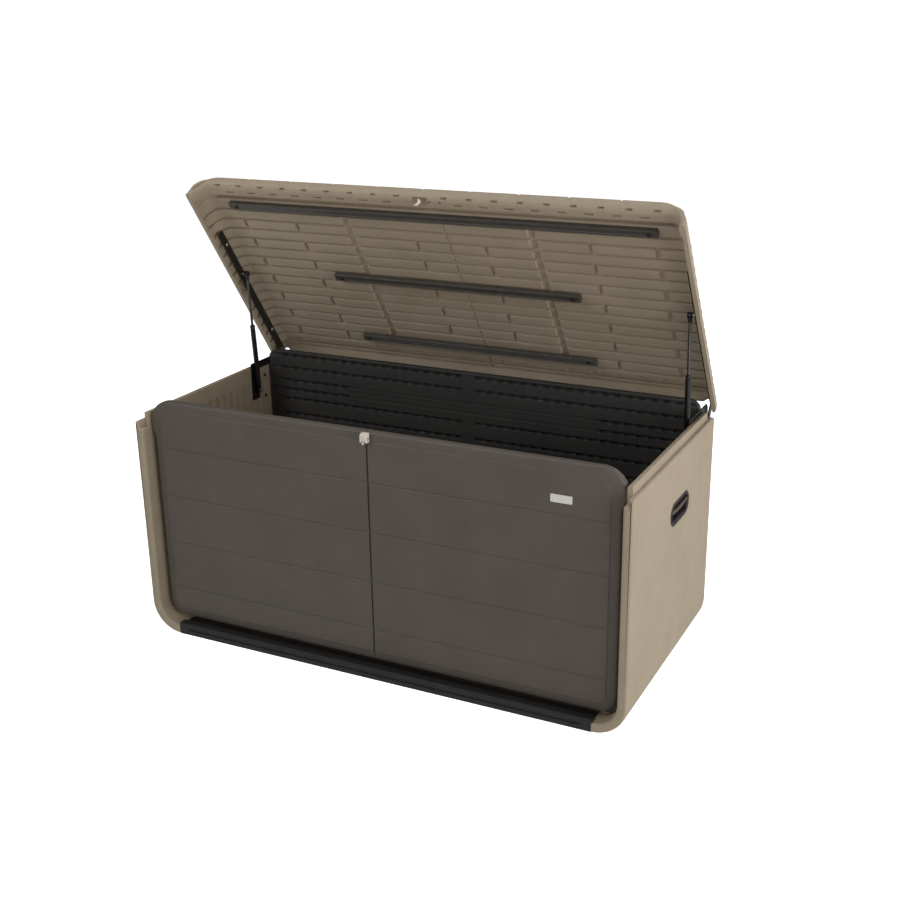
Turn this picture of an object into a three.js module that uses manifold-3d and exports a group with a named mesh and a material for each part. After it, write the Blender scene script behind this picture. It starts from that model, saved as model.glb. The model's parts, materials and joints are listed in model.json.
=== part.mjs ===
// Deck storage box: moulded panels, a hinged lid held by two gas struts, steel lid channels.
// Millimetres, +Z up. The origin is on the ground under the middle of the box.
// +X runs along the length of the box and the front faces -Y. The lid stands open.
import * as THREE from 'three';
import { mergeVertices } from 'three/addons/utils/BufferGeometryUtils.js';
import Module from 'manifold-3d';

const wasm = await Module();
wasm.setup();

// ---- Overall sizes ----
const BOX_LENGTH = 1530;
const BOX_DEPTH = 720;
const SHOULDER_HEIGHT = 672; // ground to the ledge that the closed lid's skirt meets
const LID_RISE = 90; // shoulder to the closed lid's top
const GAP = 0.3; // between pieces that touch
const ROUND_STEPS = 10; // segments in a large quarter round
const SMALL_ROUND = 14; // segments round a pin, bolt or tube

// ---- Side panels ----
const SIDE_WALL = 28;
const SIDE_CORNER_RADIUS = 96; // outside of the rounded bottom corner
const RIM_STEP = 9; // front and rear rims stand this far inside the wall
const RIM_DEPTH = 31.5;
const RIM_NOTCH = 22; // the inner part of the rim stops this far below the shoulder
const LIP_WIDTH = 14;
const LIP_HEIGHT = 22;

// ---- Front, back and floor panels ----
const PANEL_THICKNESS = 30;
const PANEL_SETBACK = 32; // from the rim's face to the panel's face
const PANEL_LID_GAP = 3; // closed lid's plate above the front and back panels
const PANEL_TOP_RADIUS = 72;
const PANEL_KERB_GAP = 2;
const GROOVE_WIDTH = 5;
const GROOVE_DEPTH = 3;
const PLANK_PITCH = 148;
const TOP_PLANK_HEIGHT = 146;
const TONGUE_THICKNESS = 10;
const TONGUE_LENGTH = 9;
const FLOOR_THICKNESS = 28;
const KERB_HEIGHT = 37; // strip of the floor panel that shows under the front panel
const KERB_WIDTH = 27;
const KERB_INSET = 2;

// ---- Lid ----
const HINGE_OVERHANG = 12; // hinge axis behind the box
const HINGE_DROP = 2; // hinge axis below the shoulder
const LID_OPEN_DEG = 56;
const LID_FRONT_OVERHANG = 9; // closed lid's front edge in front of the rims
const LID_REAR_INSET = 8; // hinge axis to the lid's rear face
const LID_PLATE = 26;
const LID_CORNER_RADIUS = 84;
const LID_SKIRT_GAP = 4; // closed skirt above the shoulder
const LID_SKIRT_WALL = 12;
const LID_INNER_RADIUS = 40;
const LID_BORDER_WIDTH = 37;
const LID_BORDER_DROP = 14;
const LID_REAR_SKIRT_DROP = 24;
const LID_REAR_SKIRT_WALL = 12;
const LID_PLANK_PITCH = 144;
const LID_GROOVES_PER_SIDE = 4;
const LID_GROOVE_WIDTH = 6;
const LID_GROOVE_DEPTH = 3;

// ---- Steel channels under the lid ----
const CHANNEL_WIDTH = 26;
const CHANNEL_DEPTH = 13;
const CHANNEL_WALL = 2.5;
const FRONT_CHANNEL = { halfLength: 669, behind: 3 }; // behind the closed front panel
const MIDDLE_CHANNEL = { halfLength: 403 }; // half way between the other two
const REAR_CHANNEL = { halfLength: 400, reach: 110 }; // from the hinge axis
const CHANNEL_SCREW_INSET = 24;

// ---- Hinges and lid rails ----
const PLATE_THICKNESS = 3;
const HINGE_PIN_RADIUS = 4;
const HINGE_STRIP_HEIGHT = 24;
const HINGE_STRIP_RISE = 12; // strip's top above the lip
const HINGE_LEG_WIDTH = 40;
const HINGE_LEG_DROP = 33; // leg's end below the strut's pivot
const HINGE_EAR_RADIUS = 11;
const PIN_CLEARANCE = 0.3;
const PIN_HEAD_RADIUS = 7;
const PIN_HEAD_LENGTH = 4;
const RAIL_REACH = 555;
const RAIL_HEIGHT = 22;
const RAIL_LIP_CLEARANCE = 3;
const RAIL_FROM_WALL = 4; // rail's inner face outboard of the side panel's inner face
const RAIL_BOLT_REACHES = [505, 120];

// ---- Gas struts ----
const STRUT_LOWER = { inFront: 154, drop: 55 }; // from the hinge axis
const STRUT_UPPER = { reach: 380, height: 38 }; // from the hinge axis in the closed lid
const STRUT_SIDE_GAP = 1; // between the strut and the hinge plate
const TUBE_RADIUS = 8.3;
const TUBE_BORE_RADIUS = 6.8;
const TUBE_START = 12.3;
const TUBE_END = 222;
const TUBE_CAP = 4;
const ROD_RADIUS = 4;
const ROD_CLEARANCE = 0.3;
const PISTON_LENGTH = 8;
const ROD_START = 166;
const EYE_RADIUS = 9;
const EYE_WIDTH = 14;
const EYE_NECK_RADIUS = 6;
const UPPER_EYE_LENGTH = 20;
const STUD_RADIUS = 4;

// ---- Handles, lock, label and fasteners ----
const HANDLE = { y: 38, drop: 166, length: 163, height: 68, flange: 2.5, rim: 8, depth: 22, wall: 3 };
const GRIP = { height: 15, thickness: 12, inset: 3 };
const LOCK = { width: 30, height: 36, reach: 17, hole: 5.5, plate: 3 };
const LOCK_POCKET = { width: 44, length: 26 };
const LOCK_TAB = { width: 28, height: 25, thickness: 3, hole: 5.5, holeUp: 11, setback: 9 };
const LABEL = { fromEnd: 201, drop: 100, width: 60, height: 22, thickness: 1.5 };
const SCREW = { shank: 2.5, length: 14, head: 6, headHeight: 3 };
const CORNER_SCREW = { inFront: 28, drop: 22, pitch: 70 }; // from the back panel and the shoulder

// ---- Places worked out from the sizes above ----
const halfLength = BOX_LENGTH / 2;
const hingeHeight = SHOULDER_HEIGHT - HINGE_DROP;
const lidReach = BOX_DEPTH + HINGE_OVERHANG + LID_FRONT_OVERHANG; // hinge axis to front edge
const rimWidth = SIDE_WALL + RIM_STEP;
const rimNotchTop = SHOULDER_HEIGHT - RIM_NOTCH;
const panelTop = SHOULDER_HEIGHT + LID_RISE - LID_PLATE - PANEL_LID_GAP;
const panelBottom = KERB_HEIGHT + PANEL_KERB_GAP;
const handleZ = SHOULDER_HEIGHT - HANDLE.drop;
const frontY = -BOX_DEPTH / 2;
const rearY = BOX_DEPTH / 2;
const innerX = halfLength - SIDE_WALL;
const rimInnerX = halfLength - rimWidth;
const lipOuterX = innerX + LIP_WIDTH;
const lipTop = SHOULDER_HEIGHT + LIP_HEIGHT;
const cornerX = halfLength - SIDE_CORNER_RADIUS;
const panelEndX = innerX - GAP;
const panelFrontY = frontY + PANEL_SETBACK;
const hingeY = rearY + HINGE_OVERHANG;
const lidTop = SHOULDER_HEIGHT + LID_RISE - hingeHeight;
const lidUnder = lidTop - LID_PLATE;
const skirtBottom = SHOULDER_HEIGHT + LID_SKIRT_GAP - hingeHeight;
const lidCornerRadius = Math.min(LID_CORNER_RADIUS, lidTop - skirtBottom);
const skirtInnerX = halfLength - LID_SKIRT_WALL;
const plateOuterX = innerX - GAP;
const plateInnerX = plateOuterX - PLATE_THICKNESS;
const railInnerX = innerX + RAIL_FROM_WALL;
const railOuterX = railInnerX + PLATE_THICKNESS;
const railBottom = lipTop + RAIL_LIP_CLEARANCE - hingeHeight;
const strutX = plateInnerX - STRUT_SIDE_GAP - TUBE_RADIUS;
const railBoltLength = skirtInnerX - railInnerX;
const frontChannelY = panelFrontY + PANEL_THICKNESS + FRONT_CHANNEL.behind + CHANNEL_WIDTH / 2 - hingeY;
const middleChannelY = (frontChannelY - REAR_CHANNEL.reach) / 2;
const channels = [
  { name: 'lid_front_channel', y: frontChannelY, half: FRONT_CHANNEL.halfLength },
  { name: 'lid_middle_channel', y: middleChannelY, half: MIDDLE_CHANNEL.halfLength },
  { name: 'lid_rear_channel', y: -REAR_CHANNEL.reach, half: REAR_CHANNEL.halfLength },
];
const lidAngle = THREE.MathUtils.degToRad(LID_OPEN_DEG);
const strutPivot = { y: hingeY - STRUT_LOWER.inFront, z: hingeHeight - STRUT_LOWER.drop };
const strutTop = {
  y: hingeY - STRUT_UPPER.reach * Math.cos(lidAngle) + STRUT_UPPER.height * Math.sin(lidAngle),
  z: hingeHeight + STRUT_UPPER.reach * Math.sin(lidAngle) + STRUT_UPPER.height * Math.cos(lidAngle),
};
const strutLength = Math.hypot(strutTop.y - strutPivot.y, strutTop.z - strutPivot.z);
const strutLean = Math.atan2(strutTop.z - strutPivot.z, strutTop.y - strutPivot.y) - Math.PI / 2;

// ---- Materials ----
function finish(color, roughness, metalness) {
  return new THREE.MeshStandardMaterial({ color, roughness, metalness });
}
const sandPlastic = finish('#aea08c', 0.6, 0);
const brownPlastic = finish('#4e4843', 0.6, 0);
const charcoalPlastic = finish('#262625', 0.6, 0);
const blackSteel = finish('#1d1c1b', 0.45, 0.2);
const channelSteel = finish('#3c3937', 0.45, 0.2);
const brightSteel = finish('#b9b7b2', 0.3, 1);
const lockMetal = finish('#d7cbbc', 0.4, 0.1);
const labelPlastic = finish('#dcdad5', 0.5, 0);

// ---- Solids ----
function toSolid(geometry) {
  const bare = geometry.clone();
  bare.deleteAttribute('normal');
  bare.deleteAttribute('uv');
  const merged = mergeVertices(bare, 1e-4);
  return new wasm.Manifold(new wasm.Mesh({
    numProp: 3,
    vertProperties: Float32Array.from(merged.attributes.position.array),
    triVerts: Uint32Array.from(merged.index.array),
  }));
}

function toGeometry(solid) {
  const mesh = solid.getMesh();
  const geometry = new THREE.BufferGeometry();
  geometry.setAttribute('position', new THREE.BufferAttribute(mesh.vertProperties, 3));
  geometry.setIndex(new THREE.BufferAttribute(mesh.triVerts, 1));
  geometry.computeVertexNormals();
  return geometry;
}

// Joins the pieces in `add` and takes away the pieces in `cut`.
function carve(add, cut = []) {
  let solid = toSolid(add[0]);
  for (const piece of add.slice(1)) solid = solid.add(toSolid(piece));
  for (const piece of cut) solid = solid.subtract(toSolid(piece));
  return toGeometry(solid);
}

// The same geometry on the other side of the box's middle plane.
function mirrorX(geometry) {
  const copy = toGeometry(toSolid(geometry)).scale(-1, 1, 1);
  const index = copy.index.array;
  for (let i = 0; i < index.length; i += 3) [index[i], index[i + 1]] = [index[i + 1], index[i]];
  return copy;
}

function box(x0, x1, y0, y1, z0, z1) {
  return new THREE.BoxGeometry(x1 - x0, y1 - y0, z1 - z0)
    .translate((x0 + x1) / 2, (y0 + y1) / 2, (z0 + z1) / 2);
}

// An outline drawn in X and Z, made solid from y0 to y1.
function alongY(shape, y0, y1, curveSegments = ROUND_STEPS) {
  return new THREE.ExtrudeGeometry(shape, { depth: y1 - y0, bevelEnabled: false, curveSegments })
    .rotateX(Math.PI / 2).translate(0, y1, 0);
}

// An outline drawn in Y and Z, made solid from x0 to x1.
const YZ_TO_X = new THREE.Matrix4().makeBasis(
  new THREE.Vector3(0, 1, 0), new THREE.Vector3(0, 0, 1), new THREE.Vector3(1, 0, 0));
function alongX(shape, x0, x1, curveSegments = ROUND_STEPS) {
  return new THREE.ExtrudeGeometry(shape, { depth: x1 - x0, bevelEnabled: false, curveSegments })
    .applyMatrix4(YZ_TO_X).translate(x0, 0, 0);
}

function rodX(radius, x0, x1, y, z) {
  return new THREE.CylinderGeometry(radius, radius, x1 - x0, SMALL_ROUND)
    .rotateZ(Math.PI / 2).translate((x0 + x1) / 2, y, z);
}

function rodY(radius, y0, y1, x, z) {
  return new THREE.CylinderGeometry(radius, radius, y1 - y0, SMALL_ROUND).translate(x, (y0 + y1) / 2, z);
}

function rodZ(radius, z0, z1, x, y) {
  return new THREE.CylinderGeometry(radius, radius, z1 - z0, SMALL_ROUND)
    .rotateX(Math.PI / 2).translate(x, y, (z0 + z1) / 2);
}

// A body of revolution about Z. The profile is [radius, height] pairs from the bottom of the axis
// round the outside to its top.
function turned(profile) {
  const points = profile.map(([radius, height]) => new THREE.Vector2(radius, height));
  return new THREE.LatheGeometry(points, SMALL_ROUND).rotateX(Math.PI / 2);
}

// An oval with round ends, drawn about a point.
function stadium(u, v, length, height) {
  const radius = height / 2;
  const reach = length / 2 - radius;
  const shape = new THREE.Shape();
  shape.moveTo(u - reach, v - radius);
  shape.lineTo(u + reach, v - radius);
  shape.absarc(u + reach, v, radius, -Math.PI / 2, Math.PI / 2);
  shape.lineTo(u - reach, v + radius);
  shape.absarc(u - reach, v, radius, Math.PI / 2, 1.5 * Math.PI);
  return shape;
}

// ---- Side panel: wall, rounded bottom corner, front and rear rims, top lip ----
function cornerProfile(wall, top) {
  const shape = new THREE.Shape();
  const inner = SIDE_CORNER_RADIUS - wall;
  shape.moveTo(cornerX, 0);
  shape.absarc(cornerX, SIDE_CORNER_RADIUS, SIDE_CORNER_RADIUS, -Math.PI / 2, 0);
  shape.lineTo(halfLength, top);
  shape.lineTo(halfLength - wall, top);
  shape.lineTo(halfLength - wall, SIDE_CORNER_RADIUS);
  shape.absarc(cornerX, SIDE_CORNER_RADIUS, inner, 0, -Math.PI / 2, true);
  shape.lineTo(cornerX, 0);
  return shape;
}

function handleOpening() {
  const rim = HANDLE.rim - GAP;
  return alongX(stadium(HANDLE.y, handleZ, HANDLE.length - 2 * rim, HANDLE.height - 2 * rim),
    halfLength - SIDE_WALL - 1, halfLength + 1);
}

function sidePanel() {
  const tongueY = [panelFrontY + (PANEL_THICKNESS - TONGUE_THICKNESS) / 2 - GAP,
    panelFrontY + (PANEL_THICKNESS + TONGUE_THICKNESS) / 2 + GAP];
  const grooveX = innerX + TONGUE_LENGTH;
  return carve([
    alongY(cornerProfile(SIDE_WALL, SHOULDER_HEIGHT), frontY, rearY),
    alongY(cornerProfile(rimWidth, SHOULDER_HEIGHT), frontY, frontY + RIM_DEPTH),
    alongY(cornerProfile(rimWidth, SHOULDER_HEIGHT), rearY - RIM_DEPTH, rearY),
    box(innerX, lipOuterX, panelFrontY, rearY - RIM_DEPTH, SHOULDER_HEIGHT - 1, lipTop),
  ], [
    box(rimInnerX - 1, lipOuterX, frontY - 1, frontY + RIM_DEPTH, rimNotchTop, lipTop),
    box(rimInnerX - 1, lipOuterX, rearY - RIM_DEPTH, rearY + 1, rimNotchTop, lipTop),
    box(innerX - 1, grooveX, tongueY[0], tongueY[1], SIDE_CORNER_RADIUS, panelTop),
    box(innerX - 1, grooveX, -tongueY[1], -tongueY[0], SIDE_CORNER_RADIUS, panelTop),
    handleOpening(),
    ...plateBolts().map(([y, z]) => rodX(SCREW.shank + GAP, innerX - 1, innerX + SCREW.length, y, z)),
    ...cornerScrews().map(([y, z]) => rodX(SCREW.shank + GAP, innerX - 1, innerX + SCREW.length, y, z)),
  ]);
}

// ---- Front and back panels: one outline, a tongue at each end ----
function panelOutline() {
  const x = panelEndX;
  const cornerZ = SIDE_CORNER_RADIUS;
  const bottomRadius = x - cornerX;
  const bottomTurn = Math.asin((cornerZ - panelBottom) / bottomRadius);
  const topRadius = PANEL_TOP_RADIUS;
  const topZ = panelTop - topRadius;
  const shape = new THREE.Shape();
  shape.absarc(cornerX, cornerZ, bottomRadius, -bottomTurn, 0);
  shape.absarc(x - topRadius, topZ, topRadius, 0, Math.PI / 2);
  shape.absarc(-x + topRadius, topZ, topRadius, Math.PI / 2, Math.PI);
  shape.absarc(-cornerX, cornerZ, bottomRadius, Math.PI, Math.PI + bottomTurn);
  return shape;
}

function plainPanel(y0) {
  const tongueY = y0 + (PANEL_THICKNESS - TONGUE_THICKNESS) / 2;
  const reach = panelEndX + TONGUE_LENGTH;
  const tongueBottom = SIDE_CORNER_RADIUS + GAP;
  const tongueTop = rimNotchTop - GAP;
  return [
    alongY(panelOutline(), y0, y0 + PANEL_THICKNESS),
    box(-reach, reach, tongueY, tongueY + TONGUE_THICKNESS, tongueBottom, tongueTop),
  ];
}

function frontPanel() {
  const grooves = [box(-GROOVE_WIDTH / 2, GROOVE_WIDTH / 2, panelFrontY - 1, panelFrontY + GROOVE_DEPTH,
    panelBottom - 1, panelTop + 1)];
  const first = panelTop - TOP_PLANK_HEIGHT;
  for (let z = first; z > panelBottom + PLANK_PITCH / 2; z -= PLANK_PITCH) {
    grooves.push(box(-panelEndX - 1, panelEndX + 1, panelFrontY - 1, panelFrontY + GROOVE_DEPTH,
      z - GROOVE_WIDTH / 2, z + GROOVE_WIDTH / 2));
  }
  return carve(plainPanel(panelFrontY), grooves);
}

function backPanel() {
  const y0 = -panelFrontY - PANEL_THICKNESS;
  const clearRight = box(plateInnerX - GAP, panelEndX + 1, y0 - 1, y0 + PANEL_THICKNESS + 1,
    stripBottom - GAP, panelTop);
  return carve(plainPanel(y0), [
    box(-GROOVE_WIDTH / 2, GROOVE_WIDTH / 2, -panelFrontY - GROOVE_DEPTH, -panelFrontY + 1,
      panelBottom - 1, panelTop + 1),
    clearRight,
    mirrorX(clearRight),
  ]);
}

function floorPanel() {
  const x = cornerX - GAP;
  const y = rearY - KERB_INSET;
  return carve([
    box(-x, x, -y, y, 0, FLOOR_THICKNESS),
    box(-x, x, -y, -y + KERB_WIDTH, 0, KERB_HEIGHT),
    box(-x, x, y - KERB_WIDTH, y, 0, KERB_HEIGHT),
  ]);
}

// ---- Hinge plate: strip along the lip, hinge ear, leg with the strut's lower stud ----
const stripTop = lipTop + HINGE_STRIP_RISE;
const stripBottom = stripTop - HINGE_STRIP_HEIGHT;
const legFrontY = strutPivot.y - HINGE_LEG_WIDTH * 0.6;
const legRearY = legFrontY + HINGE_LEG_WIDTH;
const legBottom = strutPivot.z - HINGE_LEG_DROP;
function plateBolts() {
  return [[legFrontY + HINGE_LEG_WIDTH / 2, legBottom + 11], [legRearY + 38, stripBottom + 6]];
}

function hingePlate() {
  const shape = new THREE.Shape();
  shape.moveTo(legFrontY, legBottom);
  shape.lineTo(legRearY, legBottom);
  shape.lineTo(legRearY, stripBottom);
  shape.lineTo(rearY - 8, stripBottom);
  shape.lineTo(hingeY - HINGE_EAR_RADIUS, hingeHeight);
  shape.absarc(hingeY, hingeHeight, HINGE_EAR_RADIUS, Math.PI, 2 * Math.PI);
  shape.lineTo(hingeY + HINGE_EAR_RADIUS, stripTop - 14);
  shape.lineTo(hingeY - 3, stripTop);
  shape.lineTo(legFrontY, stripTop);
  shape.lineTo(legFrontY, legBottom);
  return carve([alongX(shape, plateInnerX, plateOuterX, 5)], [
    rodX(HINGE_PIN_RADIUS + PIN_CLEARANCE, plateInnerX - 1, plateOuterX + 1, hingeY, hingeHeight),
    ...plateBolts().map(([y, z]) => rodX(SCREW.shank + GAP, plateInnerX - 1, plateOuterX + 1, y, z)),
  ]);
}

function hingePin() {
  const inner = plateInnerX - GAP;
  return carve([
    rodX(HINGE_PIN_RADIUS, inner - 1, railOuterX + 5, hingeY, hingeHeight),
    rodX(PIN_HEAD_RADIUS, inner - PIN_HEAD_LENGTH, inner, hingeY, hingeHeight),
  ]);
}

// A screw along X whose head sits against the face at `seatX` and whose shank runs to +X.
function screwX(seatX, y, z, length) {
  return carve([
    rodX(SCREW.shank, seatX - 1, seatX + length, y, z),
    rodX(SCREW.head, seatX - GAP - SCREW.headHeight, seatX - GAP, y, z),
  ]);
}

function cornerScrews() {
  const y = -panelFrontY - PANEL_THICKNESS - CORNER_SCREW.inFront;
  const z = SHOULDER_HEIGHT - CORNER_SCREW.drop;
  return [[y, z], [y, z - CORNER_SCREW.pitch]];
}

// ---- Handle: a cup through the side panel and a grip bar across its mouth ----
function handleCup() {
  const { y, length, height, flange, rim, depth, wall } = HANDLE;
  const z = handleZ;
  const outerX = halfLength + GAP + flange;
  return carve([
    alongX(stadium(y, z, length, height), halfLength + GAP, outerX),
    alongX(stadium(y, z, length - 2 * rim, height - 2 * rim), halfLength - depth, outerX - 1),
  ], [
    alongX(stadium(y, z, length - 2 * (rim + wall), height - 2 * (rim + wall)),
      halfLength - depth + wall, outerX + 1),
  ]);
}

function handleGrip() {
  const { y, length, rim, wall, flange } = HANDLE;
  const z = handleZ;
  const reach = length / 2 - rim - wall - GRIP.inset;
  const outerX = halfLength + flange;
  const shape = new THREE.Shape();
  shape.moveTo(y - reach, z + GRIP.height * 0.35);
  shape.quadraticCurveTo(y, z - GRIP.height * 0.5, y + reach, z + GRIP.height * 0.35);
  shape.lineTo(y + reach - GRIP.height * 0.4, z + GRIP.height * 0.9);
  shape.quadraticCurveTo(y, z + GRIP.height * 0.55, y - reach + GRIP.height * 0.4, z + GRIP.height * 0.9);
  return alongX(shape, outerX - GRIP.thickness, outerX, 8);
}

// ---- Lock: a staple on the front panel and a tab under the lid's front border ----
function lockStaple() {
  const seat = panelFrontY - GAP;
  const bottom = panelTop - LOCK.height;
  const half = LOCK.width / 2;
  const front = seat - LOCK.reach;
  const centreY = (front + seat - LOCK.plate) / 2;
  return carve([
    box(-half, half, front, seat, bottom + LOCK.height / 3, panelTop),
    box(-half, half, seat - LOCK.plate, seat, bottom, panelTop),
  ], [rodX(LOCK.hole, -half - 1, half + 1, centreY, bottom + LOCK.height * 0.66)]);
}

function lockTab() {
  const { width, height, thickness, hole, holeUp, setback } = LOCK_TAB;
  const top = lidUnder - LID_BORDER_DROP - GAP;
  const y = -lidReach + setback;
  return carve([box(-width / 2, width / 2, y, y + thickness, top - height, top)],
    [rodY(hole, y - 1, y + thickness + 1, 0, top - height + holeUp)]);
}

function labelPlate() {
  const { fromEnd, drop, width, height, thickness } = LABEL;
  const x = halfLength - fromEnd;
  const z = panelTop - drop;
  const seat = panelFrontY - GAP;
  return box(x - width / 2, x + width / 2, seat - thickness, seat, z - height / 2, z + height / 2);
}

// ---- Lid, drawn closed about the hinge axis: -Y is towards its front edge ----
function lidProfile() {
  const shape = new THREE.Shape();
  const bendX = halfLength - lidCornerRadius;
  const bendZ = lidTop - lidCornerRadius;
  const innerBendX = skirtInnerX - LID_INNER_RADIUS;
  const innerBendZ = lidUnder - LID_INNER_RADIUS;
  shape.moveTo(halfLength, skirtBottom);
  shape.lineTo(halfLength, bendZ);
  shape.absarc(bendX, bendZ, lidCornerRadius, 0, Math.PI / 2);
  shape.lineTo(-bendX, lidTop);
  shape.absarc(-bendX, bendZ, lidCornerRadius, Math.PI / 2, Math.PI);
  shape.lineTo(-halfLength, skirtBottom);
  shape.lineTo(-skirtInnerX, skirtBottom);
  shape.lineTo(-skirtInnerX, innerBendZ);
  shape.absarc(-innerBendX, innerBendZ, LID_INNER_RADIUS, Math.PI, Math.PI / 2, true);
  shape.lineTo(innerBendX, lidUnder);
  shape.absarc(innerBendX, innerBendZ, LID_INNER_RADIUS, Math.PI / 2, 0, true);
  shape.lineTo(skirtInnerX, skirtBottom);
  return shape;
}

function lidPanel() {
  const front = -lidReach;
  const rear = -LID_REAR_INSET;
  const borderBottom = lidUnder - LID_BORDER_DROP;
  const borderX = skirtInnerX - 8;
  const rearSkirtX = railInnerX - 3;
  const grooves = [];
  for (let i = -LID_GROOVES_PER_SIDE; i <= LID_GROOVES_PER_SIDE; i += 1) {
    const x = i * LID_PLANK_PITCH;
    grooves.push(box(x - LID_GROOVE_WIDTH / 2, x + LID_GROOVE_WIDTH / 2, front - 1, rear + 1,
      lidTop - LID_GROOVE_DEPTH, lidTop + 1));
  }
  const boltHoles = RAIL_BOLT_REACHES.flatMap((reach) => {
    const right = rodX(SCREW.shank + GAP, railOuterX - 1, railInnerX + railBoltLength + 2,
      -reach, railBottom + RAIL_HEIGHT / 2);
    return [right, mirrorX(right)];
  });
  return carve([
    alongY(lidProfile(), front, rear),
    box(-borderX, borderX, front, front + LID_BORDER_WIDTH, borderBottom, lidUnder + 1),
    box(-rearSkirtX, rearSkirtX, rear - LID_REAR_SKIRT_WALL, rear,
      lidUnder - LID_REAR_SKIRT_DROP, lidUnder + 1),
  ], [
    box(-LOCK_POCKET.width / 2, LOCK_POCKET.width / 2, front + LID_BORDER_WIDTH - LOCK_POCKET.length,
      front + LID_BORDER_WIDTH + 1, borderBottom - 1, lidUnder),
    ...grooves,
    ...boltHoles,
    ...channelScrews().map(({ x, y }) => rodZ(SCREW.shank + GAP, lidUnder - 1,
      lidUnder + SCREW.length, x, y)),
  ]);
}

function channelScrews() {
  return channels.flatMap(({ name, y, half }) => [-1, 1].map((side) => ({
    name: `${name}_${side < 0 ? 'left' : 'right'}_screw`,
    x: side * (half - CHANNEL_SCREW_INSET),
    y,
  })));
}

// A steel channel, open towards the lid, with a screw hole near each end.
function channel({ y, half }) {
  const top = lidUnder - GAP;
  const w = CHANNEL_WIDTH / 2;
  return carve([box(-half, half, y - w, y + w, top - CHANNEL_DEPTH, top)], [
    box(-half - 1, half + 1, y - w + CHANNEL_WALL, y + w - CHANNEL_WALL,
      top - CHANNEL_DEPTH + CHANNEL_WALL, top + 1),
    ...[-1, 1].map((side) => rodZ(SCREW.shank + GAP, top - CHANNEL_DEPTH - 1, top,
      side * (half - CHANNEL_SCREW_INSET), y)),
  ]);
}

function channelScrew({ x, y }) {
  const seat = lidUnder - GAP - CHANNEL_DEPTH;
  return carve([
    rodZ(SCREW.shank, seat - 1, lidUnder + SCREW.length - 4, x, y),
    rodZ(SCREW.head, seat - GAP - SCREW.headHeight, seat - GAP, x, y),
  ]);
}

// Lid rail: a flat bar inside the skirt that ends in the lid's hinge ear.
function lidRail() {
  const top = railBottom + RAIL_HEIGHT;
  const r = HINGE_EAR_RADIUS;
  const shape = new THREE.Shape();
  shape.moveTo(-RAIL_REACH, railBottom);
  shape.lineTo(-r - 9, railBottom);
  shape.lineTo(-r, 0);
  shape.absarc(0, 0, r, Math.PI, 2 * Math.PI);
  shape.lineTo(r, railBottom - 6);
  shape.lineTo(-r / 2, top);
  shape.lineTo(-RAIL_REACH, top);
  const mid = railBottom + RAIL_HEIGHT / 2;
  return carve([alongX(shape, railInnerX, railOuterX, 5)], [
    rodX(HINGE_PIN_RADIUS + PIN_CLEARANCE, railInnerX - 1, railOuterX + 1, 0, 0),
    ...RAIL_BOLT_REACHES.map((reach) => rodX(SCREW.shank + GAP, railInnerX - 1, railOuterX + 1,
      -reach, mid)),
    rodX(SCREW.shank + GAP, railInnerX - 1, railOuterX + 1, -STRUT_UPPER.reach, STRUT_UPPER.height),
  ]);
}

// Upper strut stud: a collar against the rail with a threaded end through it.
function upperStud() {
  const y = -STRUT_UPPER.reach;
  const tip = strutX + EYE_WIDTH / 2 + STRUT_SIDE_GAP;
  return carve([
    rodX(STUD_RADIUS + 1, tip, railInnerX - GAP, y, STRUT_UPPER.height),
    rodX(SCREW.shank, railInnerX - 1, railOuterX, y, STRUT_UPPER.height),
  ]);
}

// ---- Gas strut, drawn along Z from its lower pivot ----
function strutTube() {
  return carve([turned([[0, TUBE_START], [TUBE_RADIUS, TUBE_START], [TUBE_RADIUS, TUBE_END],
    [ROD_RADIUS + ROD_CLEARANCE, TUBE_END], [ROD_RADIUS + ROD_CLEARANCE, TUBE_END - TUBE_CAP],
    [TUBE_BORE_RADIUS, TUBE_END - TUBE_CAP], [TUBE_BORE_RADIUS, TUBE_START + TUBE_CAP],
    [0, TUBE_START + TUBE_CAP]])]);
}

function strutRod() {
  const end = strutLength - UPPER_EYE_LENGTH - GAP;
  const piston = TUBE_BORE_RADIUS - ROD_CLEARANCE;
  return carve([turned([[0, ROD_START], [piston, ROD_START], [piston, ROD_START + PISTON_LENGTH],
    [ROD_RADIUS, ROD_START + PISTON_LENGTH], [ROD_RADIUS, end], [0, end]])]);
}

function lowerEye() {
  return carve([
    rodX(EYE_RADIUS, -EYE_WIDTH / 2, EYE_WIDTH / 2, 0, 0),
    rodZ(EYE_NECK_RADIUS, 0, TUBE_START - GAP, 0, 0),
  ], [rodX(STUD_RADIUS + PIN_CLEARANCE, -EYE_WIDTH, EYE_WIDTH, 0, 0)]);
}

function upperEye() {
  return carve([
    rodX(EYE_RADIUS, -EYE_WIDTH / 2, EYE_WIDTH / 2, 0, strutLength),
    rodZ(EYE_NECK_RADIUS, strutLength - UPPER_EYE_LENGTH, strutLength, 0, 0),
  ]);
}

function lowerStud() {
  const { y, z } = strutPivot;
  const end = strutX - EYE_WIDTH / 2 - GAP;
  return carve([
    rodX(STUD_RADIUS, end - 1, plateInnerX - GAP, y, z),
    rodX(STUD_RADIUS + 2.5, end - 3, end, y, z),
  ]);
}

// ---- Assembly ----
const storageBox = new THREE.Group();
const lid = new THREE.Group();
lid.position.set(0, hingeY, hingeHeight);
lid.rotation.x = -lidAngle;
storageBox.add(lid);

function place(parent, name, geometry, material) {
  const mesh = new THREE.Mesh(geometry, material);
  mesh.name = name;
  parent.add(mesh);
}

// A right-hand piece and its mirror image.
function placePair(parent, name, geometry, material) {
  place(parent, `right_${name}`, geometry, material);
  place(parent, `left_${name}`, mirrorX(geometry), material);
}

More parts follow.
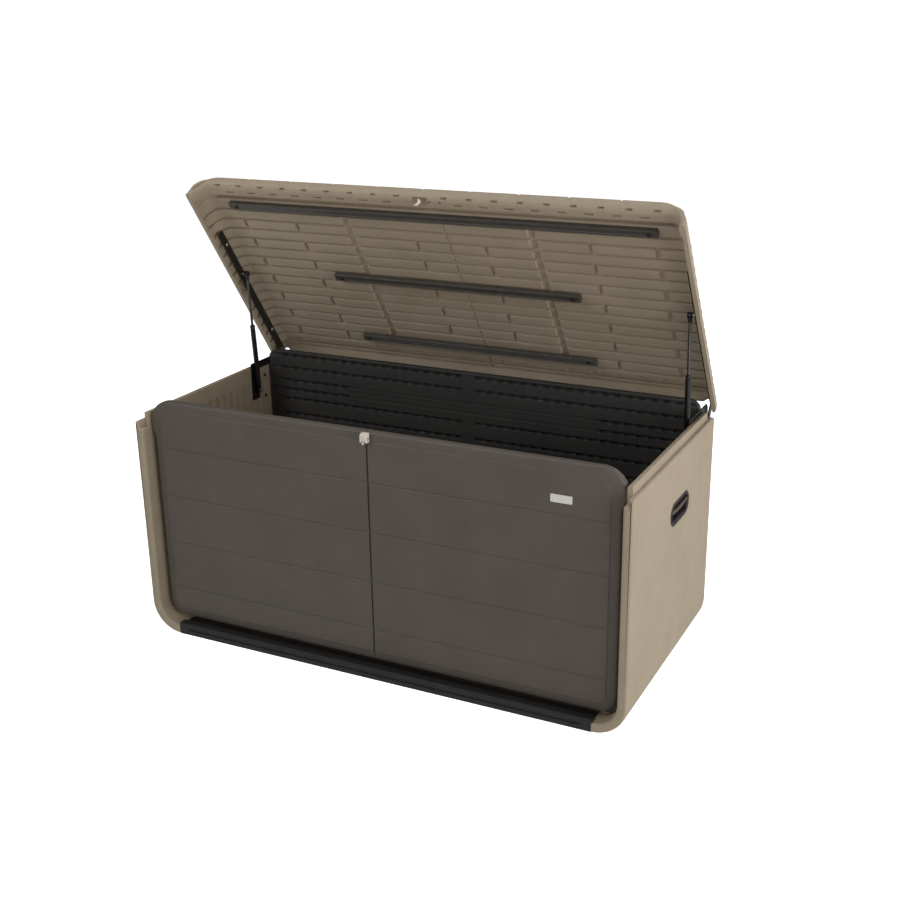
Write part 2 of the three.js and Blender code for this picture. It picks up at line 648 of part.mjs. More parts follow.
place(storageBox, 'floor_panel', floorPanel(), charcoalPlastic);
place(storageBox, 'front_panel', frontPanel(), brownPlastic);
place(storageBox, 'back_panel', backPanel(), charcoalPlastic);
place(storageBox, 'lock_staple', lockStaple(), lockMetal);
place(storageBox, 'label_plate', labelPlate(), labelPlastic);
placePair(storageBox, 'side_panel', sidePanel(), sandPlastic);
placePair(storageBox, 'hinge_plate', hingePlate(), blackSteel);
placePair(storageBox, 'hinge_pin', hingePin(), brightSteel);
placePair(storageBox, 'strut_lower_stud', lowerStud(), brightSteel);
placePair(storageBox, 'handle_cup', handleCup(), charcoalPlastic);
placePair(storageBox, 'handle_grip', handleGrip(), charcoalPlastic);
plateBolts().forEach(([y, z], i) => {
  const name = `hinge_plate_bolt_${i + 1}`;
  placePair(storageBox, name, screwX(plateInnerX, y, z, SCREW.length), blackSteel);
});
cornerScrews().forEach(([y, z], i) => {
  placePair(storageBox, `corner_screw_${i + 1}`, screwX(innerX, y, z, SCREW.length - 1), blackSteel);
});

place(lid, 'lid_panel', lidPanel(), sandPlastic);
place(lid, 'lid_lock_tab', lockTab(), lockMetal);
for (const bar of channels) place(lid, bar.name, channel(bar), channelSteel);
for (const screw of channelScrews()) place(lid, screw.name, channelScrew(screw), blackSteel);
placePair(lid, 'lid_rail', lidRail(), blackSteel);
placePair(lid, 'strut_upper_stud', upperStud(), brightSteel);
RAIL_BOLT_REACHES.forEach((reach, i) => {
  const bolt = screwX(railInnerX, -reach, railBottom + RAIL_HEIGHT / 2, railBoltLength);
  placePair(lid, `lid_rail_bolt_${i + 1}`, bolt, brightSteel);
});

for (const side of [-1, 1]) {
  const strut = new THREE.Group();
  const hand = side < 0 ? 'left' : 'right';
  strut.position.set(side * strutX, strutPivot.y, strutPivot.z);
  strut.rotation.x = strutLean;
  place(strut, `${hand}_strut_lower_eye`, lowerEye(), blackSteel);
  place(strut, `${hand}_strut_tube`, strutTube(), blackSteel);
  place(strut, `${hand}_strut_rod`, strutRod(), blackSteel);
  place(strut, `${hand}_strut_upper_eye`, upperEye(), blackSteel);
  storageBox.add(strut);
}

export default storageBox;
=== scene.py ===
"""Looks of the deck storage box: moulded panels, a ribbed lid, steel channels and gas struts.

Metres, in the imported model's frame: X along the box, the front faces -Y, Z up, the lid open.
Pieces on the lid are drawn with the lid shut, about the hinge axis, and then swung open.
"""
import json
import math

import bmesh
import bpy
import numpy as np
from mathutils import Matrix, Vector


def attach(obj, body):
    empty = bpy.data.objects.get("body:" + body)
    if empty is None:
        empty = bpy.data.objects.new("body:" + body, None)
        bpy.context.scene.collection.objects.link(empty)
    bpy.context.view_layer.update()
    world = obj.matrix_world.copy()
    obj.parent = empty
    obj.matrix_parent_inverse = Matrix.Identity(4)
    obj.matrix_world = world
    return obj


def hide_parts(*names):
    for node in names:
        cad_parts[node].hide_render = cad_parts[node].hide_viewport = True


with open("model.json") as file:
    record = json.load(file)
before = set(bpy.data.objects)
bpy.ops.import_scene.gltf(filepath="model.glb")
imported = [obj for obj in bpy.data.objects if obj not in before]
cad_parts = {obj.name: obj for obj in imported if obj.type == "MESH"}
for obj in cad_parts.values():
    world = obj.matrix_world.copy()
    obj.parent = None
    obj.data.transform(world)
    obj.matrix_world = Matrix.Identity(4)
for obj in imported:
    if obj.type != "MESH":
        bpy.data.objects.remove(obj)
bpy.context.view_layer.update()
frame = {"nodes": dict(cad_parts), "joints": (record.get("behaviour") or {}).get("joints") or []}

MM = 0.001
HANDS = {"left": -1, "right": 1}


# ---- Places read from the frame ----
def joint(name):
    return next(j for j in frame["joints"] if j["name"] == name)


def node_box(node, place=Matrix()):
    """Lowest and highest corner of a CAD node, measured in the frame that `place` puts in the world."""
    to_local = place.inverted()
    points = [to_local @ v.co for v in frame["nodes"][node].data.vertices]
    low = Vector([min(p[i] for p in points) for i in range(3)])
    high = Vector([max(p[i] for p in points) for i in range(3)])
    return low, high


HINGE = Vector(joint("lid_hinge")["pos_m"])
LID_OPEN = math.radians(joint("lid_hinge")["range_deg"][1])
LID_PLACE = Matrix.Translation(HINGE) @ Matrix.Rotation(-LID_OPEN, 4, "X")

side_high = node_box("right_side_panel")[1]
front_low, front_high = node_box("front_panel")
back_low, back_high = node_box("back_panel")
floor_low, floor_high = node_box("floor_panel")
lid_low, lid_high = node_box("lid_panel", LID_PLACE)

# ---- Sizes of the moulded panels ----
HALF_LENGTH = side_high.x
LIP_HEIGHT = 22 * MM
SHOULDER = side_high.z - LIP_HEIGHT
SIDE_CORNER = 96 * MM
SIDE_WALL = 28 * MM
RIM_DEPTH = 31.5 * MM
RIM_NOTCH = 22 * MM
LIP_WIDTH = 14 * MM
CORNER_X = HALF_LENGTH - SIDE_CORNER
SIDE_INNER = HALF_LENGTH - SIDE_WALL
PANEL_END = SIDE_INNER - 0.3 * MM
PANEL_TOP = front_high.z
PANEL_BOTTOM = front_low.z
PLANK_JOINTS = [PANEL_TOP - 146 * MM - i * 148 * MM for i in range(4)]


# ---- Colours and materials ----
def linear(colour):
    """A colour written as sRGB hex, in Blender's linear light, opaque."""
    channels = [int(colour[i:i + 2], 16) / 255 for i in (1, 3, 5)]
    return [c / 12.92 if c <= 0.04045 else ((c + 0.055) / 1.055) ** 2.4 for c in channels] + [1.0]


def add(tree, kind, inputs=None, **settings):
    """Adds a node with its settings; an input that is a socket is linked, any other is a value."""
    node = tree.nodes.new(kind)
    for key, value in settings.items():
        setattr(node, key, value)
    for socket, value in (inputs or {}).items():
        if isinstance(value, bpy.types.NodeSocket):
            tree.links.new(value, node.inputs[socket])
        else:
            node.inputs[socket].default_value = value
    return node


def new_material(name):
    """An empty material, its node tree and the place of a point in metres."""
    material = bpy.data.materials.new(name)
    material.use_nodes = True
    material.node_tree.nodes.clear()
    return material, material.node_tree, add(material.node_tree, "ShaderNodeTexCoord").outputs["Object"]


def patches(tree, place, size, low, high, stretch=(1, 1, 1), detail=3.0):
    """Soft uneven patches of about `size` metres, between the values `low` and `high`."""
    scaled = add(tree, "ShaderNodeVectorMath", {0: place, 1: stretch}, operation="MULTIPLY")
    noise = add(tree, "ShaderNodeTexNoise", {"Vector": scaled.outputs[0], "Scale": 1 / size,
                                             "Detail": detail})
    spread = add(tree, "ShaderNodeMapRange", {"Value": noise.outputs["Fac"], "From Min": 0.3,
                                              "From Max": 0.7, "To Min": low, "To Max": high})
    return spread.outputs["Result"]


def blend_colours(tree, share, first, second):
    mix = add(tree, "ShaderNodeMix", {"Factor": share}, data_type="RGBA")
    for socket, colour in ((6, first), (7, second)):
        if isinstance(colour, bpy.types.NodeSocket):
            tree.links.new(colour, mix.inputs[socket])
        else:
            mix.inputs[socket].default_value = linear(colour)
    return mix.outputs[2]


def finish_material(material, tree, shader_inputs):
    shader = add(tree, "ShaderNodeBsdfPrincipled", shader_inputs)
    add(tree, "ShaderNodeOutputMaterial", {"Surface": shader.outputs[0]})
    return material


def moulded_polyethylene(name, body, flow, long_grain=0.0, roughness=0.56):
    """High-density polyethylene, blow moulded in a sand-blasted tool.

    The blasted tool leaves a fine pebble, so the surface is matt with a broad weak sheen. The melt
    cools unevenly, which shows as faint cloudy patches, and wood-look faces have shallow long grain.
    """
    material, tree, place = new_material(name)
    cloud = patches(tree, place, 120 * MM, 0.0, 1.0)
    colour = blend_colours(tree, cloud, body, flow)
    # Blasted pebble is about 0.5 mm across; it is drawn at 1.6 mm, because finer doesn't show.
    pebble = patches(tree, place, 1.6 * MM, 0.0, 1.0, detail=2.0)
    # Long grain runs with X: 5 mm wide and 40 times as long.
    grain = patches(tree, place, 5 * MM, 0.0, 1.0, stretch=(0.025, 1, 1), detail=4.0)
    relief = add(tree, "ShaderNodeMath", {0: grain, 1: long_grain, 2: pebble}, operation="MULTIPLY_ADD")
    bump = add(tree, "ShaderNodeBump", {"Height": relief.outputs[0], "Strength": 0.25,
                                        "Distance": 0.3 * MM})
    return finish_material(material, tree, {
        "Base Color": colour, "IOR": 1.54, "Normal": bump.outputs[0],
        "Roughness": patches(tree, place, 35 * MM, roughness - 0.06, roughness + 0.06)})


def powder_coated_steel(name, body, sheen_patch, roughness):
    """Rolled steel with a baked powder coat.

    The powder melts into a smooth skin with slight orange peel, so highlights are soft and wavy,
    and handling leaves faint duller patches.
    """
    material, tree, place = new_material(name)
    colour = blend_colours(tree, patches(tree, place, 25 * MM, 0.0, 1.0), body, sheen_patch)
    # Orange peel is about 1.5 mm from crest to crest; it is drawn at 3 mm.
    peel = patches(tree, place, 3 * MM, 0.0, 1.0, detail=1.0)
    bump = add(tree, "ShaderNodeBump", {"Height": peel, "Strength": 0.2, "Distance": 0.15 * MM})
    return finish_material(material, tree, {
        "Base Color": colour, "IOR": 1.5, "Normal": bump.outputs[0],
        "Roughness": patches(tree, place, 18 * MM, roughness - 0.05, roughness + 0.1)})


def bare_metal(name, body, dull, roughness, stretch):
    """Bare or plated steel that was drawn, turned or barrel plated.

    It reflects like metal, and fine lines from the drawing or turning break the reflection up.
    """
    material, tree, place = new_material(name)
    colour = blend_colours(tree, patches(tree, place, 6 * MM, 0.0, 1.0), body, dull)
    # Drawing lines are under 0.1 mm apart; they are drawn at 0.6 mm.
    lines = patches(tree, place, 0.6 * MM, 0.0, 1.0, stretch=stretch)
    bump = add(tree, "ShaderNodeBump", {"Height": lines, "Strength": 0.15, "Distance": 0.05 * MM})
    return finish_material(material, tree, {
        "Base Color": colour, "Metallic": 1.0, "Normal": bump.outputs[0],
        "Roughness": patches(tree, place, 4 * MM, roughness - 0.06, roughness + 0.08)})


def printed_vinyl(name, body, shade):
    """A blank plate of printed vinyl: smooth, satin, and very slightly uneven in tone."""
    material, tree, place = new_material(name)
    colour = blend_colours(tree, patches(tree, place, 8 * MM, 0.0, 1.0), body, shade)
    film = patches(tree, place, 2 * MM, 0.0, 1.0, detail=1.0)
    bump = add(tree, "ShaderNodeBump", {"Height": film, "Strength": 0.1, "Distance": 0.05 * MM})
    return finish_material(material, tree, {
        "Base Color": colour, "IOR": 1.5, "Normal": bump.outputs[0],
        "Roughness": patches(tree, place, 10 * MM, 0.3, 0.4)})


MATERIALS = {
    "sand_moulded_plastic": moulded_polyethylene("sand_polyethylene", "#b0a08a", "#a89981"),
    "brown_moulded_plastic": moulded_polyethylene("brown_polyethylene", "#605850", "#5a524b", 1.5),
    "charcoal_moulded_plastic": moulded_polyethylene("charcoal_polyethylene", "#3d3c3a", "#373635",
                                                     roughness=0.66),
    # The floor is charcoal plastic drawn darker than the back panel's: painted shade for the shadow under
    # the box.
    "charcoal_plastic_painted_shade": moulded_polyethylene("charcoal_polyethylene_painted_shade", "#211f1d", "#1c1a18", roughness=0.6),
    # The handle is one charcoal plastic in two copies: darker in the cup for painted shade in its hollow,
    # lighter on the grip for a painted highlight.
    "charcoal_plastic_painted_cup_shade": moulded_polyethylene("charcoal_polyethylene_painted_cup_shade", "#2b2320", "#241d1a", roughness=0.62),
    "charcoal_plastic_painted_grip_highlight": moulded_polyethylene("charcoal_polyethylene_painted_grip_highlight", "#57493f", "#4d4138", roughness=0.6),
    "channel_steel": powder_coated_steel("grey_brown_powder_coat", "#534e49", "#494440", 0.36),
    "black_coated_steel": powder_coated_steel("black_powder_coat", "#1e1d1c", "#171615", 0.34),
    "strut_rod_steel": bare_metal("nitrided_steel", "#6a6866", "#5c5a58", 0.3, (1, 1, 0.05)),
    "zinc_plated_steel": bare_metal("zinc_plated_steel", "#c9c8c4", "#b3b1ab", 0.28, (0.1, 1, 1)),
    "lock_metal": powder_coated_steel("cream_powder_coat", "#eee2d2", "#e6d9c7", 0.38),
    "label_plastic": printed_vinyl("blank_plate_vinyl", "#f2eee6", "#e8e3da"),
}


# ---- Outlines, in two measures of a plane ----
def arc(centre, radius, start, end, steps):
    """Points on an arc, with its angles in degrees."""
    turns = np.radians(np.linspace(start, end, steps + 1))
    return [(centre[0] + radius * math.cos(a), centre[1] + radius * math.sin(a)) for a in turns]


def rounded(points, inset=0.0, steps=5):
    """A closed anticlockwise outline whose points (u, v, radius) are turned, moved in by `inset`."""
    outline = []
    for i, (u, v, radius) in enumerate(points):
        point = Vector((u, v))
        before = (point - Vector(points[i - 1][:2])).normalized()
        after = (Vector(points[(i + 1) % len(points)][:2]) - point).normalized()
        cross = before.x * after.y - before.y * after.x
        inward = Vector((-before.y, before.x)), Vector((-after.y, after.x))
        shift = (inward[0] + inward[1]) / (1 + inward[0].dot(inward[1]))
        side = 1 if cross >= 0 else -1
        turned_radius = max(radius - side * inset, 0.0)
        centre = point + shift * (inset + side * turned_radius)
        first = math.atan2(-side * inward[0].y, -side * inward[0].x)
        turn = math.atan2(cross, before.dot(after))
        outline += [(centre.x + turned_radius * math.cos(first + turn * k / steps),
                     centre.y + turned_radius * math.sin(first + turn * k / steps))
                    for k in range(steps + 1)]
    return outline


def corners(low_u, low_v, high_u, high_v, radius=0.0):
    """The four corners of a rectangle, for `rounded`."""
    return [(low_u, low_v, radius), (high_u, low_v, radius),
            (high_u, high_v, radius), (low_u, high_v, radius)]


def long_hole(centre, length, height, inset=0.0):
    """An oval outline with round ends."""
    radius = height / 2 - inset
    reach = length / 2 - height / 2
    return (arc((centre[0] + reach, centre[1]), radius, -90, 90, 14)
            + arc((centre[0] - reach, centre[1]), radius, 90, 270, 14))


def across_x(outline, x):
    return [Vector((x, u, v)) for u, v in outline]


def across_y(outline, y):
    return [Vector((u, y, v)) for u, v in outline]


def across_z(outline, z):
    return [Vector((u, v, z)) for u, v in outline]


# ---- Solids: each is a mesh that is one closed body ----
def solid(vertices, faces, place=Matrix()):
    mesh = bpy.data.meshes.new("solid")
    mesh.from_pydata([tuple(v) for v in vertices], [], [[int(i) for i in f] for f in faces])
    shape = bmesh.new()
    shape.from_mesh(mesh)
    bmesh.ops.remove_doubles(shape, verts=shape.verts, dist=1e-6)
    bmesh.ops.dissolve_degenerate(shape, edges=shape.edges, dist=1e-7)
    bmesh.ops.recalc_face_normals(shape, faces=shape.faces)
    shape.to_mesh(mesh)
    shape.free()
    mesh.transform(place)
    return mesh


def through(rings, place=Matrix()):
    """A solid that passes through rings of points and is closed at its first and last ring."""
    count = len(rings[0])
    vertices = [p for ring in rings for p in ring]
    faces = [list(range(count)), [len(vertices) - count + i for i in range(count)]]
    for start in range(0, len(vertices) - count, count):
        for i in range(count):
            j = (i + 1) % count
            faces.append([start + i, start + j, start + count + j, start + count + i])
    return solid(vertices, faces, place)


def plate(outline_of, across, low, high, edge, place=Matrix(), steps=3):
    """A plate from `low` to `high` whose outline is `outline_of(inset)`, with both its rims rounded."""
    rings = []
    for k in range(steps + 1):
        turn = math.pi / 2 * k / steps
        rings.append(across(outline_of(edge * (1 - math.sin(turn))), low + edge * (1 - math.cos(turn))))
    for k in range(steps, -1, -1):
        turn = math.pi / 2 * k / steps
        rings.append(across(outline_of(edge * (1 - math.sin(turn))), high - edge * (1 - math.cos(turn))))
    return through(rings, place)


def turned(profile, place=Matrix(), steps=32):
    """A body of revolution about Z. The profile is (radius, height) pairs, axis to axis."""
    angles = np.linspace(0, 2 * math.pi, steps, endpoint=False)
    rings = [[Vector((r * math.cos(a), r * math.sin(a), z)) for a in angles]
             for r, z in profile if r > 0]
    return through(rings, place)


def between(front, back):
    """A solid between two grids of points, each an array of rows, columns and three places."""
    rows, columns = front.shape[:2]
    count = rows * columns
    index = np.arange(count).reshape(rows, columns)
    quads = np.stack([index[:-1, :-1], index[:-1, 1:], index[1:, 1:], index[1:, :-1]], -1).reshape(-1, 4)
    rim = np.concatenate([index[0], index[1:, -1], index[-1, -2::-1], index[-2:0:-1, 0]])
    following = np.roll(rim, -1)
    walls = np.stack([rim, rim + count, following + count, following], -1)
    faces = np.concatenate([quads, quads[:, ::-1] + count, walls])
    return solid(np.concatenate([front.reshape(-1, 3), back.reshape(-1, 3)]), faces)


def carve(mesh, others, how="DIFFERENCE"):
    """Cuts the other solids from a solid, joins them to it, or keeps what they share."""
    base = bpy.data.objects.new("base", mesh)
    bpy.context.scene.collection.objects.link(base)
    tools = []
    for other in others:
        tool = bpy.data.objects.new("tool", other)
        bpy.context.scene.collection.objects.link(tool)
        modifier = base.modifiers.new("carve", "BOOLEAN")
        modifier.operation, modifier.solver, modifier.object = how, "MANIFOLD", tool
        tools.append(tool)
    result = bpy.data.meshes.new_from_object(base.evaluated_get(bpy.context.evaluated_depsgraph_get()))
    for spent in [base, *tools]:
        bpy.data.objects.remove(spent)
    return result


def mirrored(mesh):
    """The same solid for the left end of the box."""
    mesh.transform(Matrix.Scale(-1, 4, (1, 0, 0)))
    mesh.flip_normals()
    return mesh


def softened(node, width, segments=2):
    """A CAD node's shape with its hard edges rounded."""
    mesh = frame["nodes"][node].data.copy()
    shape = bmesh.new()
    shape.from_mesh(mesh)
    bmesh.ops.remove_doubles(shape, verts=shape.verts, dist=1e-5)
    bmesh.ops.dissolve_limit(shape, angle_limit=math.radians(1), verts=shape.verts, edges=shape.edges)
    edges = [e for e in shape.edges if len(e.link_faces) == 2 and e.calc_face_angle() > math.radians(35)]
    bmesh.ops.bevel(shape, geom=edges, offset=width, segments=segments, profile=0.5, affect="EDGES",
                    clamp_overlap=True)
    bmesh.ops.recalc_face_normals(shape, faces=shape.faces)
    shape.to_mesh(mesh)
    shape.free()
    return mesh


def show(name, mesh, body, slot, nodes, sharp=32, look=None):
    """Puts a finished solid in the scene in place of CAD nodes."""
    mesh.name = name
    mesh.materials.clear()
    mesh.materials.append(MATERIALS[look or slot])
    mesh.polygons.foreach_set("use_smooth", [True] * len(mesh.polygons))
    mesh.set_sharp_from_angle(angle=math.radians(sharp))
    piece = bpy.data.objects.new(name, mesh)
    bpy.context.scene.collection.objects.link(piece)
    # Large flat faces keep their own direction, so the roundings beside them don't tint them.
    piece.modifiers.new("weigh", "WEIGHTED_NORMAL").keep_sharp = True
    piece.data = bpy.data.meshes.new_from_object(
        piece.evaluated_get(bpy.context.evaluated_depsgraph_get()))
    piece.data.name = name
    piece.modifiers.clear()
    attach(piece, body)
    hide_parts(*nodes)
    return piece


# ---- Relief: raised and sunk bands laid out along a line ----
def ramp(values, start, end):
    """Rises smoothly from 0 at `start` to 1 at `end`."""
    t = np.clip((values - start) / (end - start), 0, 1)
    return t * t * (3 - 2 * t)


def bands(values, centres, width, slope):
    """1 inside each band, falling to 0 over `slope` on both its sides."""
    total = np.zeros_like(values)
    for c in centres:
        inside = ramp(values, c - width / 2 - slope, c - width / 2)
        total = np.maximum(total, inside * (1 - ramp(values, c + width / 2, c + width / 2 + slope)))
    return total


def stations(start, end, band_sets, spacing, steps=3):
    """Where a grid needs its lines: at both ends, at even spacing, and on every slope of each band."""
    lines = list(np.linspace(start, end, max(2, round((end - start) / spacing) + 1)))
    slopes = []
    for centres, width, slope in band_sets:
        for c in centres:
            for edge in (c - width / 2 - slope, c + width / 2):
                slopes += list(edge + np.linspace(0, slope, steps + 1))
    slopes = [s for s in slopes if start < s < end]
    lines = [v for v in lines if v in (start, end) or all(abs(v - s) > 1.5 * MM for s in slopes)]
    return np.unique(np.round(lines + slopes, 6))


# ---- Front and back panels ----
PANEL_GAP = 13 * MM
PANEL_FOOT_GAP = 6 * MM
FLANGE_DEPTH = 21 * MM
WALL_GROOVE = 4 * MM
FIELD_SINK = 1.1 * MM
PLANK_CROWN = 0.95 * MM
PLANK_GROOVE = 2.4 * MM
FIELD_INSET = 31 * MM
HINGE_NOTCH_FOOT = 680 * MM
SLOTS_END = 694 * MM
SLOTS_MIDDLE = 22 * MM
SLOT_PITCH = 37.6 * MM
SLOT_ROWS = [PANEL_TOP - d * MM for d in (14, 56, 99, 130, 162, 214, 266, 318, 370, 422, 474, 526, 578)]
BLANK_ROWS = SLOT_ROWS[2:4]
BLANK_REACH = 428 * MM
# How far in from its outline, and how far behind its face, a panel's cushion runs: field, step, border, rim.
CUSHION = [(29.5, 0), (28.6, 0.2), (27.4, 1.5), (26.4, 2.2), (24.5, 2.5), (17, 3.4), (10, 4.5), (5.5, 5.9),
           (2.5, 7.8), (0.7, 10.4), (0, 13.5), (0, 25)]


def both_sides(right):
    return right + [(-x, z) for x, z in reversed(right)]


def panel_outline(top_corner, inset=0.0):
    """Outline in X and Z: bottom corners follow the side panels', top corners are round."""
    radius = PANEL_END - CORNER_X - inset
    turn = math.degrees(math.asin((SIDE_CORNER - PANEL_BOTTOM - inset) / radius))
    return both_sides(arc((CORNER_X, SIDE_CORNER), radius, -turn, 0, 8)
                      + arc((PANEL_END - top_corner, PANEL_TOP - top_corner), top_corner - inset, 0, 90, 12))


def cushion_outline(top_corner, inset=0.0):
    """Outline of a panel's raised cushion: clear of the side panels up to their shoulder."""
    radius = PANEL_END - PANEL_GAP - CORNER_X - inset
    turn = math.degrees(math.asin((SIDE_CORNER - PANEL_BOTTOM - PANEL_FOOT_GAP - inset) / radius))
    foot = arc((CORNER_X, SIDE_CORNER), radius, -turn, 0, 10)
    # The rim steps out over the side panels, while the step round the planks runs straight up.
    step_out = PANEL_GAP * float(np.clip(1 - inset / (22 * MM), 0, 1))
    flare = [(CORNER_X + radius + step_out * t * t * (3 - 2 * t), SHOULDER - (58 - 40 * t) * MM)
             for t in np.linspace(0, 1, 9)]
    top_centre = flare[-1][0] - (top_corner - inset), PANEL_TOP - top_corner
    return both_sides(foot + flare + arc(top_centre, top_corner - inset, 0, 90, 14))


def sunk_field(x, z, depth, face_y, inward, clear, rings):
    """Cutter that sinks a face by `depth`, given in rows Z and columns X, inside the rings' outline."""
    grid_x, grid_z = np.meshgrid(x, z)
    front = np.stack([grid_x, np.full_like(grid_x, face_y - inward * clear), grid_z], -1)
    back = np.stack([grid_x, face_y + inward * depth, grid_z], -1)
    return carve(between(front, back), [through(rings)], "INTERSECT")


def planked_field(face_y, inward, top_corner):
    """Cutter for the crowned planks in the middle of a panel's cushion."""
    grooves = (PLANK_JOINTS, 1.2 * MM, 4 * MM)
    z = stations(PANEL_BOTTOM - 9 * MM, PANEL_TOP + 9 * MM, [grooves], 16 * MM, steps=4)
    x = np.linspace(-HALF_LENGTH, HALF_LENGTH, 9)
    tops = np.array([PANEL_TOP + 30 * MM] + PLANK_JOINTS + [PANEL_BOTTOM - 30 * MM])
    above = np.array([tops[tops >= v].min() for v in z])
    below = np.array([tops[tops <= v].max() for v in z])
    middle = np.clip((2 * z - above - below) / np.maximum(above - below, 1e-6), -1, 1)
    depth = FIELD_SINK - PLANK_CROWN * (1 - middle ** 4) + PLANK_GROOVE * bands(z, *grooves)
    rings = [across_y(cushion_outline(top_corner, FIELD_INSET + d * 0.8), face_y + inward * d)
             for d in (-9 * MM, 0, 9 * MM)]
    return sunk_field(x, z, np.repeat(depth[:, None], len(x), 1), face_y, inward, 8 * MM, rings)


def slotted_field(face_y, inward):
    """Cutter for the rows of short slots on a panel's inner face, with two blank places."""
    rows = (SLOT_ROWS, 7 * MM, 2.5 * MM)
    across = [side * (SLOT_PITCH * (i + 0.9)) for i in range(18) for side in (-1, 1)]
    slots = (across, 17 * MM, 2.5 * MM)
    seam = ([0.0], 3 * MM, 3 * MM)
    z = stations(PANEL_BOTTOM - 9 * MM, PANEL_TOP + 9 * MM, [rows], 40 * MM)
    x = stations(-HALF_LENGTH, HALF_LENGTH, [slots, seam, ([-BLANK_REACH, BLANK_REACH], 1 * MM, 3 * MM)],
                 0.3, steps=2)
    row, slot = bands(z, *rows)[:, None], bands(x, *slots)[None, :]
    blank = bands(z, BLANK_ROWS, 12 * MM, 1 * MM)[:, None] * (np.abs(x) < BLANK_REACH)[None, :]
    past_middle = ramp(np.abs(x), SLOTS_MIDDLE, SLOTS_MIDDLE + 4 * MM)[None, :]
    open_length = past_middle * (1 - ramp(np.abs(x), SLOTS_END, SLOTS_END + 4 * MM)[None, :])
    faint = 0.8 * MM * row * blank
    depth = 1 * MM + faint + (1 - blank) * open_length * row * (2.2 * MM + 5.5 * MM * slot)
    depth = depth - 0.7 * MM * bands(x, *seam)[None, :]
    # Each row's lower lip slopes, as a louvre does.
    for centre in SLOT_ROWS:
        lip = ramp(z, centre - 26 * MM, centre - 6 * MM) * (z < centre)
        depth = depth + 1.6 * MM * (lip[:, None] * (1 - blank) * open_length)
    rings = [across_y(panel_outline(20 * MM, 6 * MM + d), face_y + inward * d)
             for d in (-5 * MM, 0, 12 * MM)]
    return sunk_field(x, z, depth, face_y, inward, 6 * MM, rings)


def upright_groove(face_y, inward, width, depth):
    """Cutter for the groove down the middle of a panel's outer face."""
    outline = [(-width / 2 - 1 * MM, -6 * MM), (-width / 2 - 1 * MM, 0), (-width / 2, depth),
               (width / 2, depth), (width / 2 + 1 * MM, 0), (width / 2 + 1 * MM, -6 * MM)]
    flat = [(u, face_y + inward * v) for u, v in outline]
    return through([across_z(flat, z) for z in (PANEL_BOTTOM - 0.01, PANEL_TOP + 0.01)])


def long_panel(name, outer_y, inner_y, top_corner, slot):
    """A flange with a raised cushion on its outer face, and rows of slots on its inner face."""
    inward = 1 if inner_y > outer_y else -1
    flange_y = outer_y + inward * FLANGE_DEPTH
    flange = plate(lambda inset: panel_outline(top_corner, inset), across_y, min(flange_y, inner_y),
                   max(flange_y, inner_y), 4 * MM, steps=4)
    cushion = through([across_y(cushion_outline(top_corner, inset * MM), outer_y + inward * depth * MM)
                       for inset, depth in CUSHION])
    slab = carve(flange, [cushion], "UNION")
    cutters = [planked_field(outer_y, inward, top_corner), slotted_field(inner_y, -inward),
               upright_groove(outer_y, inward, WALL_GROOVE, 5.5 * MM)]
    if name == "back_panel":
        for hand, side in HANDS.items():
            low, high = node_box(f"{hand}_hinge_plate")
            inner = (low.x if side > 0 else high.x) - side * 0.5 * MM
            strip = rounded(corners(min(inner, side), HINGE_NOTCH_FOOT, max(inner, side), PANEL_TOP))
            cutters.append(through([across_y(strip, y) for y in (inner_y - 0.01, outer_y + 0.01)]))
    show(name, carve(slab, cutters), "box", slot, [name])


# ---- Side panels ----
RIB_PITCH = 36 * MM
RIB_SINK = 5 * MM


def side_outline(wall, lip, inset=0.0):
    """Section in X and Z of the right side panel: wall, rounded bottom corner and top lip."""
    inner = HALF_LENGTH - wall
    face = HALF_LENGTH - max(wall, SIDE_WALL)
    lip_top = SHOULDER + lip
    outer_lip = SIDE_INNER + LIP_WIDTH
    return rounded([
        (CORNER_X - inset, 0, 0), (HALF_LENGTH, 0, SIDE_CORNER), (HALF_LENGTH, SHOULDER, 5 * MM),
        (outer_lip, SHOULDER, 1 * MM), (outer_lip, lip_top, 3 * MM), (face, lip_top, 3 * MM),
        (face, SHOULDER - 27 * MM, 0), (inner, SHOULDER - 29 * MM, 0),
        (inner, wall, SIDE_CORNER - wall), (CORNER_X - inset, wall, 0)], inset, steps=10)


